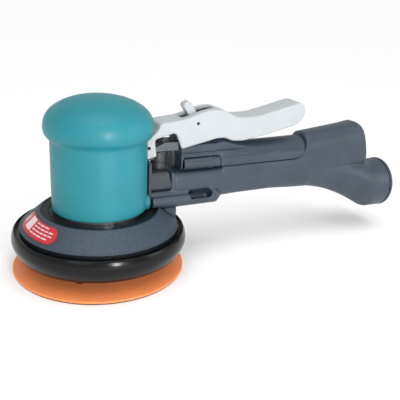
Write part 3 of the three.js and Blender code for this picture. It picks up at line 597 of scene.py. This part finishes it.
# The border patch shows past the red plate as a dark outline: painted shadow round the label
rim = cone_patch("label_painted_shadow_border", lambda s: label_left(s), lambda s: label_right(s), LS0, LS1, 0.06, 0.12)
stand_in(rim, "body", [], M["label_painted_shadow_edge"], 50)
red = cone_patch("label_plate", lambda s: label_left((s - LS0) / (LS1 - LS0) * (LS1 - LS0) + 0.0) + 0.7, lambda s: label_right(s) - 0.7, LS0 + 0.55, LS1 - 0.55, 0.19, 0.05)
stand_in(red, "body", ["label_plate"], M["label"], 50)
white = cone_patch("label_white_panel", lambda s: 175.0 + 0.12 * (s - 1.2), lambda s: 185.8 + 0.1 * (s - 1.2), 1.4, 10.8, 0.25, 0.03, 12, 24)
stand_in(white, "body", [], M["label_white"], 50)
rng = np.random.default_rng(7)
for k, (s, a, b) in enumerate([(2.6, 189.6, 207.0), (5.2, 188.8, 213.5), (7.8, 188.6, 214.5), (10.4, 188.6, 211.5)]):
    at = a
    i = 0
    while at < b - 1.4:
        w = float(rng.uniform(3.2, 5.6))
        e = min(at + w, b)
        bar = cone_patch("label_bar_%d_%d" % (k, i), lambda _s, v=at: v, lambda _s, v=e: v, s - 0.42, s + 0.42, 0.25, 0.03, 2, 8)
        stand_in(bar, "body", [], M["label_white"], 50)
        at = e + 1.0
        i += 1
for k in range(3):
    bar = cone_patch("label_side_bar_%d" % k, lambda _s, v=164.4 + 2.9 * k: v, lambda _s, v=165.6 + 2.9 * k: v, 2.4 + 0.6 * k, 10.2, 0.25, 0.03, 8, 2)
    stand_in(bar, "body", [], M["label_white"], 50)

ob = cut(box("c", 46.2, 56.6, -12, 12, 33, 43.9), box("d", 40, 54.6, -10, 10, 20, 60))
cone = lathe("k", [(0, 100), (0, 43), (44.2, 43.0), (45.2, 46.1), (57.5, 35.3), (57.5, 100)], 128)
ob = keep(ob, cone)
ob.name = "dust_spout"
bevelled(ob, 0.35, 3, 30)
stand_in(ob, "body", ["dust_spout"], M["handle"])
ob = cut(box("spout_seal", 47.4, 56.4, -11.8, 11.8, 44.2, 44.95), box("d", 40, 54, -9.6, 9.6, 40, 50))
bevelled(ob, 0.2, 2, 30)
stand_in(ob, "body", ["spout_seal"], M["seal"])

# ------------------------------------------------------------------ grip cover
crown = curve([(34.4, 97.6), (34.6, 98.8), (35.2, 100.0), (36.3, 101.3), (37.5, 102.8), (38.35, 104.8), (38.75, 107.4), (38.55, 110.4), (37.8, 113.6), (36.4, 116.6),
               (34.0, 119.6), (30.4, 122.4), (26.0, 124.9), (20.6, 127.0), (14.0, 128.7), (7, 129.7), (0.0001, 130)], 6)
cover_prof = [(31.35, 48.9), (31.6, 48.4), (32.1, 48.3), (33.7, 48.3), (34.2, 48.45), (34.45, 48.9), (34.45, 49.6)] + curve(
    [(34.45, 49.6), (34.45, 62), (34.42, 80), (34.4, 97.6)], 4)[1:] + crown[1:-1] + [(0, 130)] + [(0, 121), (7, 120.8), (14, 120), (21, 117.4), (27, 113), (30, 108.8), (31.35, 104.7)]
# lathe needs a closed loop here: the wall between outside and inside meets the axis at two points
half = len(cover_prof)
verts_loop = cover_prof


def lathe_loop(name, prof, seg):
    """Closed loop of (r, z) turned once round; points with r 0 become single vertices."""
    verts, rings, faces = [], [], []
    for r, z in prof:
        if r < 1e-6:
            rings.append([len(verts)] * seg)
            verts.append((0, 0, z))
        else:
            rings.append(list(range(len(verts), len(verts) + seg)))
            verts += [(r * math.cos(2 * math.pi * k / seg), r * math.sin(2 * math.pi * k / seg), z) for k in range(seg)]
    m = len(rings)
    for i in range(m):
        a, b = rings[i], rings[(i + 1) % m]
        if len(set(a)) == 1 and len(set(b)) == 1:
            continue
        for k in range(seg):
            q = []
            for v in (a[k], a[(k + 1) % seg], b[(k + 1) % seg], b[k]):
                if v not in q:
                    q.append(v)
            if len(q) > 2:
                faces.append(q)
    return mesh_object(name, verts, faces)


ob = lathe_loop("grip_cover", cover_prof, 144)
for sy in (-1, 1):
    ob = join(ob, rod("b", 6.2, 22, 32.2, 48, at=(sy * BY, BZ + 0.4)))
bore = lathe("b", [(0, 30), (31.35, 30), (31.35, 104.7), (0, 104.7)], 144)
win = prism("w", fillet([(-9.4, 57.7), (9.4, 57.7), (9.4, 82.4), (-9.4, 82.4)], 1.6), 20, 45, "yz")
notch = prism("n", fillet([(31.0, 82.2), (45, 82.2), (45, 106.5), (40.3, 106.2), (36.0, 101.4), (31.0, 98.0)], [0, 0, 0, 1, 3, 1]), -11.3, 11.3)
low = box("l", 24, 60, -30, 30, 30, 47.0)
face = box("f", 32.2, 60, -20, 20, 40, 82.6)
ob = cut(ob, bore, win, notch, low, face, rod("h", 2.8, 20, 40, 32, at=(BY, BZ)), rod("h", 2.8, 20, 40, 32, at=(-BY, BZ)))
bevelled(ob, 0.35, 3, 42)
stand_in(ob, "body", ["grip_cover"], M["teal"], 38)

# ------------------------------------------------------------------ handle mount, valve body, barrel, cap
def rounded_plate(name, x0, x1, w, z0, z1, r):
    return prism(name, fillet([(-w, z0), (w, z0), (w, z1), (-w, z1)], r, n=8), x0, x1, "yz")


ob = join(rounded_plate("handle_mount", 32.5, 34.5, 15, 47.5, 82.3, 3),
          prism("p", fillet([(32.5, 78), (38.4, 78), (38.4, 92), (37.6, 94.2), (35.6, 95.2), (31.4, 95.2), (31.4, 82.8), (32.5, 82.8)], [0, .4, 2, 1.6, 1.2, .4, .2, 0]), -8.9, 8.9))
ob = cut(ob, box("c", 34.5, 40, -20, 20, 70, 82.3), rod("h", 1.3, -12, 12, 32, axis="y", at=(PIVOT[0], PIVOT[1])),
         rod("h", 2.6, 30, 40, 32, at=(BY, BZ)), rod("h", 2.6, 30, 40, 32, at=(-BY, BZ)))
bevelled(ob, 0.4, 3, 40)
stand_in(ob, "body", ["handle_mount"], M["casting"])

ob = cut(rounded_plate("valve_body", 34.8, 50.9, 13.4, 58.8, 73.2, 3), rod("h", 4.2, 67, 80, 48, axis="z", at=(VX, 0)),
         prism("k", [(48.4, 74.5), (50.9, 63.5), (53, 63.5), (53, 74.5)], -20, 20))
bevelled(ob, 0.5, 3, 40)
stand_in(ob, "body", ["valve_body"], M["casting"])

sleeve = fillet([(4.2, 73.5), (6.6, 73.5), (6.6, 77.3), (6.1, 77.8), (6.1, 78.6), (6.6, 79.1), (6.6, 86.2), (6.0, 87.5), (4.2, 87.5)],
                [.1, .3, .2, .2, .2, .2, .5, .5, .2])
ob = lathe("throttle_valve_sleeve", sleeve, 72, VX, 0)
stand_in(ob, "body", ["throttle_valve_sleeve"], M["barrel"])

ob = prism("valve_cap", fillet([(39, 87.8), (58.4, 87.8), (58.4, 94), (47.4, 94), (39, 90.4)], [.5, .8, 1.6, 2.5, .8]), -7.6, 7.6)
ob = cut(ob, rod("h", 1.8, 80, 100, 32, axis="z", at=(VX, 0)))
bevelled(ob, 0.6, 4, 40)
stand_in(ob, "body", ["valve_cap"], M["cap"])

pts = []
for i in range(24 * 8):
    a = 2 * math.pi * i / 192
    r = 2.72 + 0.18 * math.tanh(3.5 * math.cos(24 * a))
    pts.append((55.4 + r * math.cos(a), r * math.sin(a)))
ob = prism("speed_regulator", pts, 73.7, 87.3, "xy")
bevelled(ob, 0.18, 2, 60)
stand_in(ob, "speed_regulator", ["speed_regulator"], M["barrel"], 40)


def tube_mesh(name, path, r, sides=14):
    """Round wire along a path of (x, y, z)."""
    P = [np.array(p, float) for p in path]
    verts, faces = [], []
    up = np.array((0, 0, 1.0))
    for i, p in enumerate(P):
        t = P[min(i + 1, len(P) - 1)] - P[max(i - 1, 0)]
        t = t / np.linalg.norm(t)
        n1 = np.cross(t, up)
        n1 = n1 / np.linalg.norm(n1)
        n2 = np.cross(t, n1)
        for k in range(sides):
            a = 2 * math.pi * k / sides
            verts.append(tuple(p + r * (math.cos(a) * n1 + math.sin(a) * n2)))
    for i in range(len(P) - 1):
        for k in range(sides):
            faces.append([i * sides + k, i * sides + (k + 1) % sides, (i + 1) * sides + (k + 1) % sides, (i + 1) * sides + k])
    faces.append(list(range(sides)))
    faces.append(list(range((len(P) - 1) * sides, len(P) * sides)))
    return mesh_object(name, verts, faces)


def helix(r, z0, z1, wire, turns, n=40, closed_ends=0.75):
    out = []
    total = int(turns * n)
    for i in range(total + 1):
        u = i / total
        # the first and last coils lie close together, as on a ground spring
        e = closed_ends / turns
        if u < e:
            f = 0.12 * u / e
        elif u > 1 - e:
            f = 1 - 0.12 * (1 - u) / e
        else:
            f = 0.12 + 0.76 * (u - e) / (1 - 2 * e)
        a = 2 * math.pi * i / n
        out.append((r * math.cos(a), r * math.sin(a), z0 + wire + (z1 - z0 - 2 * wire) * f))
    return out


ob = tube_mesh("lock_off_spring", helix(2.5, 4.3, 8.9, 0.35, 5.5), 0.35)
turn(ob, "y", (LOCK[0], LOCK[1]))
stand_in(ob, "throttle_lever", ["lock_off_spring"], M["steel"], 60)

# ------------------------------------------------------------------ lower handle moulding
ob = loft("handle_shell", [{"x": 55, "w": 13.8, "z0": 45.2, "z1": 71.9, "n": 5}, {"x": 72, "w": 13.8, "z0": 45.2, "z1": 71.9, "n": 5},
                           {"x": 89.6, "w": 13.8, "z0": 45.2, "z1": 71.9, "n": 5}, {"x": 91.6, "w": 13.5, "z0": 46.0, "z1": 72.4, "n": 3.4, "m": 4.4},
                           {"x": 94, "w": 13.4, "z0": 46.7, "z1": 72.9, "n": 3.0, "m": 4.2},
                           {"x": 118, "w": 13.5, "z0": 47.0, "z1": 73.0, "n": 2.5, "m": 4.0}, {"x": 142, "w": 13.65, "z0": 47.0, "z1": 73.0, "n": 2.4, "m": 4.0},
                           {"x": 160, "w": 13.75, "z0": 45.9, "z1": 73.1, "n": 2.4, "m": 3.8}, {"x": 178, "w": 13.8, "z0": 44.9, "z1": 73.1, "n": 2.3, "m": 3.6}])
rim_front = join(rounded_plate("f", 51.3, 54.6, 12.9, 48, 71.9, 3.0), rounded_plate("f", 54, 56.5, 12.0, 48, 71.2, 3.0))
front = rounded_plate("f", 34.8, 56.5, 13.3, 45.2, 58.4, 2.4)
cone = loft("c", [{"x": 162, "w": 13.2, "z0": 46.2, "z1": 73, "n": 2.3}, {"x": 172, "w": 13.5, "z0": 45.3, "z1": 73.4, "n": 2.15},
                  {"x": 180, "w": 13.8, "z0": 44.6, "z1": 73.6, "n": 2.05},
                  {"x": 188, "w": 14.3, "z0": 43.3, "z1": 73.4}, {"x": 199, "w": 15.1, "z0": 40.6, "z1": 71.8},
                  {"x": 213, "w": 17.0, "z0": 35.6, "z1": 69.8}, {"x": 228, "w": 19.3, "z0": 28.6, "z1": 66.8},
                  {"x": 240, "w": 21.1, "z0": 22.0, "z1": 63.2},
                  {"x": 248, "w": 21.5, "z0": 18.2, "z1": 61.2}, {"x": 254, "w": 21.5, "z0": 18.0, "z1": 61.0},
                  {"x": 262, "w": 21.5, "z0": 18.0, "z1": 61.0}], 96)
hood = loft("h", [{"x": 94.5, "w": 13.0, "z0": 56, "z1": 88.6, "n": 2.6}, {"x": 120, "w": 13.45, "z0": 54, "z1": 89.4, "n": 2.5},
                  {"x": 150, "w": 13.85, "z0": 52, "z1": 90.6, "n": 2.5}, {"x": 170, "w": 14.3, "z0": 52.3, "z1": 92.2, "n": 2.45},
                  {"x": 192, "w": 14.9, "z0": 53, "z1": 94.4, "n": 2.5},
                  {"x": 215, "w": 15.7, "z0": 56.0, "z1": 96.6, "n": 2.75}, {"x": 232.4, "w": 16.3, "z0": 59.5, "z1": 98.2, "n": 3.0, "lean": -0.24}], 96)
u_cut = fillet([(130, 73.2), (161, 73.2), (166.4, 75.2), (169.8, 78.8), (171.5, 83.2), (172.5, 87.7), (172.8, 91.0), (172.8, 100), (80, 100), (80, 73.2)],
               [0, 6, 5, 5, 6, 8, 8, 0, 0, 0])
hood = cut(hood, prism("u", u_cut, -30, 30))
ob = join(ob, front, rim_front, cone, hood)
for sy in (-1, 1):
    nose = [(0, 34.8), (6.2, 34.8), (6.2, 87.6), (6.1, 88.2), (5.8, 88.9), (2.2, 93.0), (1.4, 93.6), (0, 93.8)]
    ob = join(ob, axis_lathe("n", nose, "x", (sy * BY, BZ), 48))
tools = [
    lathe("t", [(0, 30), (46.6, 30), (46.6, 47.4), (0, 47.4)], 160),
    loft("t", [{"x": 41, "w": 7.4, "z0": 49.2, "z1": 56.8, "n": 5}, {"x": 62, "w": 7.4, "z0": 49.2, "z1": 56.8, "n": 5},
               {"x": 66, "w": 7.4, "z0": 47.4, "z1": 66, "n": 5}, {"x": 96, "w": 7.4, "z0": 47.8, "z1": 66, "n": 4}], 32, 1),
    loft("t", [{"x": 58, "w": 11.2, "z0": 58.8, "z1": 70.4, "n": 4}, {"x": 97, "w": 11.2, "z0": 58.8, "z1": 70.5, "n": 4}], 32, 1),
    loft("t", [{"x": 94, "w": 11.3, "z0": 49.8, "z1": 70.5, "n": 2.6}, {"x": 170, "w": 11.4, "z0": 49.8, "z1": 70.6, "n": 2.3},
               {"x": 188, "w": 12, "z0": 47.8, "z1": 71.0}, {"x": 199, "w": 12.8, "z0": 44, "z1": 69.1},
               {"x": 213, "w": 14.6, "z0": 38.2, "z1": 67.3}, {"x": 228, "w": 16.8, "z0": 31.2, "z1": 64.3},
               {"x": 240, "w": 18.8, "z0": 24.4, "z1": 60.9},
               {"x": 251, "w": 19.2, "z0": 20.3, "z1": 58.7}, {"x": 270, "w": 19.2, "z0": 20.3, "z1": 58.7}], 72, 6),
    box("t", 44, 54, -7.2, 7.2, 40, 50),
    loft("t", [{"x": 184, "w": 11.4, "z0": 75.6, "z1": 90.4, "n": 2.3}, {"x": 213, "w": 12.8, "z0": 72.6, "z1": 94, "n": 2.3},
               {"x": 245, "w": 13.9, "z0": 67.0, "z1": 96.4, "n": 2.3}], 72, 6),
    rod("t", 8.5, 176, 216, 48, at=(0, 83)),
]
for sy in (-1, 1):
    channel = [(0, 65.7), (3.7, 65.7), (3.7, 80.6), (3.55, 81.7), (3.1, 82.8), (2.4, 83.6), (1.3, 84.2), (0, 84.3)]
    tools += [rod("t", 2.6, 30, 66.5, 32, at=(sy * BY, BZ)), axis_lathe("t", channel, "x", (sy * BY, BZ), 48)]
    scoop = prism("t", fillet([(65.7, -3.7), (84.3, -3.7), (84.3, 3.7), (65.7, 3.7)], [0, 3.4, 3.4, 0], n=8), 0, 14, "xy")
    # local z becomes outward and upward
    a = math.radians(42)
    scoop.data.transform(Matrix(((1, 0, 0, 0), (0, math.sin(a), math.cos(a) * sy, sy * BY * S), (0, -math.cos(a) * sy, math.sin(a), BZ * S), (0, 0, 0, 1))))
    a = math.radians(60)
    tools += [scoop, rod("t", 2.3, 33, 70, 32, at=(sy * (BY + 7.0 * math.cos(a)), BZ + 7.0 * math.sin(a)))]
ob = cut(ob, *tools)
ob.name = "handle_shell"
remeshed(ob, 0.7, 5, 0.5)
stand_in(ob, "body", ["handle_shell"], M["handle"], 180)

# ------------------------------------------------------------------ upper grip half
ob = loft("handle_saddle", [{"x": 92, "w": 13.7, "z0": 62, "z1": 90.0}, {"x": 125, "w": 13.7, "z0": 62, "z1": 89.0},
                            {"x": 150, "w": 13.8, "z0": 62, "z1": 89.2}, {"x": 173, "w": 13.9, "z0": 62, "z1": 89.6}], 96)
wedge = [(4.2, 73.4), (4.2, 80.5), (12.4, 82.6), (12.2, 83.6), (9.2, 87.2), (8.7, 91.2)]
wedge = wedge + [(-y, z) for y, z in reversed(wedge)]
ob = join(ob, prism("w", fillet(wedge, [0, 1, .5, .5, 1.5, 1, 1, 1.5, .5, .5, 1, 0]), 60, 93, "yz"), rounded_plate("r", 58.8, 61, 13.2, 73.4, 84, 2))
ob = join(ob, loft("h", [{"x": 86.4, "w": 10.4, "z0": 66, "z1": 90.9, "n": 2.3}, {"x": 88.6, "w": 11.4, "z0": 65, "z1": 92.2, "n": 2.3},
                         {"x": 92, "w": 12.3, "z0": 64, "z1": 94.1, "n": 2.3}, {"x": 96, "w": 12.7, "z0": 64, "z1": 94.9, "n": 2.25},
                         {"x": 100, "w": 12.9, "z0": 63, "z1": 94.2, "n": 2.2}, {"x": 107, "w": 13.2, "z0": 62, "z1": 91.9, "n": 2.1},
                         {"x": 116, "w": 13.4, "z0": 62, "z1": 89.9, "n": 2.05}, {"x": 126, "w": 13.5, "z0": 62, "z1": 88.9}], 72))
for sy in (-1, 1):
    ob = join(ob, rod("r", 5.0, 91.8, 174, 48, at=(sy * TY, TZ)))
rear = fillet([(50, 73.5), (160.9, 73.5), (166.1, 75.5), (169.4, 79.0), (171.1, 83.3), (172.1, 87.8), (172.4, 91.0), (172.4, 110), (50, 110)],
              [0, 6, 5, 5, 6, 8, 8, 0, 0])
ob = keep(ob, prism("k", rear, -30, 30))
ob = cut(ob, box("c", 61, 172, 9.25, 20, 85.3, 100), box("c", 61, 172, -20, -9.25, 85.3, 100))
for sy in (-1, 1):
    ob = cut(ob, rod("c", 5.35, 60, 91.9, 48, at=(sy * TY, TZ)), rod("c", 3.2, 90, 160, 32, at=(sy * TY, TZ)))
    ob = cut(ob, rod("g", 1.9, 89, 168, 24, r1=0.9, at=(sy * 14.0, 82.0)))
    for seam in ([(78.3, 83.9), (79.2, 83.9), (79.2, 93), (78.3, 93)], [(83.0, 92.5), (84.1, 92.5), (90.6, 83.3), (89.5, 83.3)]):
        ob = cut(ob, prism("g", [(x, z) for x, z in seam], *sorted((sy * 8.6, sy * 20))))
ob.name = "handle_saddle"
remeshed(ob, 0.55, 4, 0.5)
stand_in(ob, "body", ["handle_saddle"], M["handle"], 180)

# ------------------------------------------------------------------ air tubes, bolts
for name, sy in (("air_tube", -1), ("exhaust_tube", 1)):
    prof = fillet([(3.2, 61.3), (4.6, 61.3), (4.6, 81.6), (4.95, 82.0), (4.95, 85.0), (4.6, 85.4), (4.6, 91.6), (3.2, 91.6)],
                  [.2, .5, .3, .3, .3, .3, .4, .2])
    ob = axis_lathe(name, prof, "x", (sy * TY, TZ), 64)
    stand_in(ob, "body", [name], M["handle"])
for name, sy in (("handle_bolt_right", -1), ("handle_bolt_left", 1)):
    prof = fillet([(0, 26.8), (1.75, 26.8), (1.75, 66.8), (3.2, 66.8), (3.2, 70.6), (0, 70.6)], [0, .5, .2, .25, .5, 0])
    ob = axis_lathe(name, prof, "x", (sy * BY, BZ), 48)
    ob = cut(ob, rod("h", 1.6, 68.4, 72, 6, at=(sy * BY, BZ)))
    bevelled(ob, 0.08, 2, 50)
    stand_in(ob, "body", [name], M["dark_steel"])

# ------------------------------------------------------------------ port ring, inlet bushing, muffler
prof = fillet([(19.2, 262.3), (21.8, 262.3), (21.8, 264.3), (21.2, 265.0), (19.6, 265.0), (19.2, 264.6)], [.2, .5, .6, .4, .25, .2])
stand_in(axis_lathe("hose_port_ring", prof, "x", (0, PZ), 160), "body", ["hose_port_ring"], M["handle"])

prof = [(5.4, 190)]
at = 191.0
while at < 225.2:
    prof += [(5.4, at), (5.85, at + 0.45), (5.4, at + 0.9)]
    at += 1.35
prof += [(5.4, 226.3), (6.1, 227), (8.2, 227)]
# round body with a hexagon head
body_prof = fillet([(0, 176.3), (8.2, 176.3), (8.2, 222), (0, 222)], [0, .6, .2, 0])
ob = axis_lathe("inlet_bushing", body_prof, "x", (0, 83), 72)
hexa = axis_lathe("x", [(0, 221), (8.2, 221), (8.2, 227), (0, 227)], "x", (0, 83), 6)
round_off = axis_lathe("x", fillet([(0, 220.5), (8.25, 220.5), (8.25, 226.4), (7.2, 227), (0, 227)], [0, 0, .3, .2, 0]), "x", (0, 83), 72)
ob = join(ob, keep(hexa, round_off))
bore_prof = [(0, 190)] + prof[:-2] + [(6.1, 227.6), (0, 227.6)]
ob = cut(ob, axis_lathe("x", bore_prof, "x", (0, 83), 48))
ob.name = "inlet_bushing"
bevelled(ob, 0.12, 2, 60)
stand_in(ob, "body", ["inlet_bushing"], M["steel"], 30)

ob = cut(loft("muffler", [{"x": 206, "w": 11.8, "z0": 74.2, "z1": 92.2, "n": 2.3}, {"x": 213, "w": 12.3, "z0": 73.2, "z1": 93.3, "n": 2.3}], 72, 4),
         rod("c", 8.5, 200, 220, 48, at=(0, 83)))
bevelled(ob, 0.5, 3, 50)
stand_in(ob, "body", ["muffler"], M["felt"])

# ------------------------------------------------------------------ lever
outer = [(31.8, 82.9), (40.2, 84.7), (38.4, 97.5), (54.8, 101.6), (60.0, 88.9), (89.2, 95), (95.8, 95), (102.5, 92.1),
         (111.5, 91.5), (121.0, 92.8), (129.4, 94.1), (142.0, 96.6), (152.6, 99.0), (160.6, 100.9), (164.8, 103.4), (167.4, 107.6),
         (168.4, 111.8), (167.6, 115.8), (165.4, 118.4), (161.6, 118.8),
         (152.5, 116.6), (136.7, 112.9), (123.3, 110.1), (111.7, 110), (107.6, 110.3), (104.2, 111.3), (97.5, 114.8), (94.2, 116.3),
         (90.8, 117.1), (85, 117.3), (77.5, 116), (67.5, 112.7), (60, 110.9), (42.5, 109.2), (40.9, 104.8), (36.6, 100.3), (31.8, 97.0)]
rad = [1.5, 1.5, 2.5, 3, 2, 8, 6, 12,
       16, 30, 40, 40, 30, 8, 7, 7,
       6, 5, 4, 6,
       40, 40, 30, 20, 10, 12, 30, 14,
       12, 20, 30, 30, 20, 4, 4, 6, 3]
ob = prism("throttle_lever", fillet(outer, rad, n=9), -10.8, 10.8)
bevelled(ob, 2.0, 6, 60)
applied(ob)
inner = [(20, 70), (20, 98.5), (34.6, 98.5), (41.3, 104.0), (43.2, 107.8), (60.2, 109.5), (67.9, 111.3), (77.9, 114.6),
         (85.1, 115.8), (90.5, 115.6), (93.7, 114.9), (96.9, 113.5), (103.6, 109.9), (107.4, 108.9), (111.7, 108.6),
         (123.5, 108.7), (137, 111.5), (152.8, 115.2), (161.4, 117.3), (164.4, 116.6), (166.2, 114.2), (166.4, 112), (166.4, 70)]
cav = prism("c", fillet(inner, [0, 0, 3, 3, 2, 10, 20, 30, 14, 12, 12, 20, 10, 12, 20, 40, 40, 40, 3, 1.6, 1.2, 0.8, 0], n=7), -9.5, 9.5)
bevelled(cav, 0.7, 3, 60)
applied(cav)
slot = prism("s", fillet([(61.5, -4.4), (88, -4.4), (88, 4.4), (61.5, 4.4)], 2.2), 104, 125, "xy")
ob = cut(ob, cav, slot, rod("h", 1.3, -20, 20, 32, axis="y", at=PIVOT), rod("h", 1.3, -20, 20, 32, axis="y", at=LOCK))
bevelled(ob, 0.22, 2, 50)
stand_in(ob, "throttle_lever", ["throttle_lever"], M["lever"], 40)

prof = fillet([(0.5, -10.3), (1.0, -10.3), (1.0, 10.3), (0.5, 10.3)], .2)
stand_in(axis_lathe("lever_pivot_pin", prof, "y", PIVOT, 40), "body", ["lever_pivot_pin"], M["dark_steel"])
prof = fillet([(0, -10.2), (1.0, -10.2), (1.0, 10.2), (0, 10.2)], [0, .3, .3, 0])
stand_in(axis_lathe("lock_off_pin", prof, "y", LOCK, 40), "throttle_lever", ["lock_off_pin"], M["dark_steel"])

tab = fillet([(63.3, 119.2), (64.0, 121.4), (67.4, 122.9), (69.4, 122.1), (74.8, 113.8), (76.2, 107.5), (76.3, 99), (77.2, 92.3),
              (74.2, 91.9), (72.6, 99), (69.8, 104), (68.7, 108.2), (68.6, 111.6)],
             [.8, 1.0, 1.0, 1.6, 6, 8, 12, .8, .8, 8, 4, 4, 4], n=8)
ob = prism("lock_off_lever", tab, -3.6, 3.6)
bevelled(ob, 0.9, 4, 60)
applied(ob)
ob = cut(ob, rod("h", 1.3, -10, 10, 32, axis="y", at=LOCK))
bevelled(ob, 0.12, 2, 50)
stand_in(ob, "lock_off_lever", ["lock_off_lever"], M["lever"], 40)

# ------------------------------------------------------------------ CAD nodes shown as they are, with finishes
carried = {
    "motor_housing": ("aluminium", "aluminium", 0.5), "cylinder_liner": ("steel", "steel", 0.25),
    "front_end_plate": ("steel", "steel", 0.25), "rear_end_plate": ("steel", "steel", 0.25), "lock_ring": ("steel", "steel", 0.25),
    "spindle": ("steel", "steel", 0.25), "shaft_balancer": ("steel", "steel", 0.3), "rotor": ("steel", "steel", 0.2),
    "rotor_key": ("steel", "steel", 0.15), "valve_seat": ("brass", "brass", 0.12), "valve_tip": ("seal_rubber", "seal", 0.15),
    "valve_stem": ("steel", "dark_steel", 0.12), "valve_spring": ("steel", "dark_steel", 0),
}
for name in N:
    if "bearing" in name:
        carried[name] = ("bearing_steel", "bearing", 0.25)
    if name.startswith("rotor_blade"):
        carried[name] = ("blade_fibre", "fibre", 0.15)
for name, (slot_name, mat, width) in carried.items():
    node = N[name]
    node.data.materials.clear()
    node.data.materials.append(M[mat])
    if width:
        bevelled(node, width, 3, 34)
    else:
        sub = node.modifiers.new("round", "SUBSURF")
        sub.levels = sub.render_levels = 2

# ------------------------------------------------------------------ floor, light, camera
floor = mesh_object("floor", [(-40000, -40000, -0.15), (40000, -40000, -0.15), (40000, 40000, -0.15), (-40000, 40000, -0.15)], [[0, 1, 2, 3]])
fm = bpy.data.materials.new("floor_pale")
fm.use_nodes = True
fm.node_tree.nodes["Principled BSDF"].inputs["Base Color"].default_value = (0.93, 0.93, 0.93, 1)
fm.node_tree.nodes["Principled BSDF"].inputs["Roughness"].default_value = 0.7
floor.data.materials.append(fm)

world = bpy.data.worlds.new("soft_room")
bpy.context.scene.world = world
world.use_nodes = True
bg = world.node_tree.nodes["Background"]
bg.inputs["Color"].default_value = (1, 1, 1, 1)
bg.inputs["Strength"].default_value = 0.66


def area(name, loc, target, size, power, size_y=None):
    d = bpy.data.lights.new(name, "AREA")
    d.shape = "RECTANGLE"
    d.size, d.size_y, d.energy = size * S, (size_y or size) * S, power
    o = bpy.data.objects.new(name, d)
    bpy.context.scene.collection.objects.link(o)
    o.location = Vector(loc) * S
    o.rotation_euler = (Vector(target) * S - Vector(loc) * S).to_track_quat("-Z", "Y").to_euler()
    return o


def sun(name, direction, power, angle):
    d = bpy.data.lights.new(name, "SUN")
    d.energy, d.angle = power, math.radians(angle)
    o = bpy.data.objects.new(name, d)
    bpy.context.scene.collection.objects.link(o)
    o.rotation_euler = Vector(direction).to_track_quat("-Z", "Y").to_euler()
    return o


sun("sun_soft", (0.08, 0.30, -0.95), 1.4, 50)
area("key_left", (-520, -560, 420), (0, 0, 60), 420, 0.6)
area("spot_front", (17, -600, 150), (-8, -63, 30), 80, 2.0, 190)
area("fill_right", (620, -420, 260), (160, 0, 70), 300, 0.7)

cam_data = bpy.data.cameras.new("camera")
cam = bpy.data.objects.new("camera", cam_data)
bpy.context.scene.collection.objects.link(cam)
right = Vector((0.8967005, -0.43997198, 0.04850648))
up = Vector((0.11426025, 0.3359467, 0.93492482))
fwd = Vector((0.42763631, 0.83280519, -0.35151488))
m = Matrix((right, up, -fwd)).transposed().to_4x4()
m.translation = Vector((-0.123325, -0.400876, 0.2115))
cam.matrix_world = m
cam_data.sensor_width = 36
cam_data.lens = 54.315
cam_data.clip_start, cam_data.clip_end = 0.01, 20
bpy.context.scene.camera = cam
bpy.context.scene.view_settings.view_transform = "Standard"
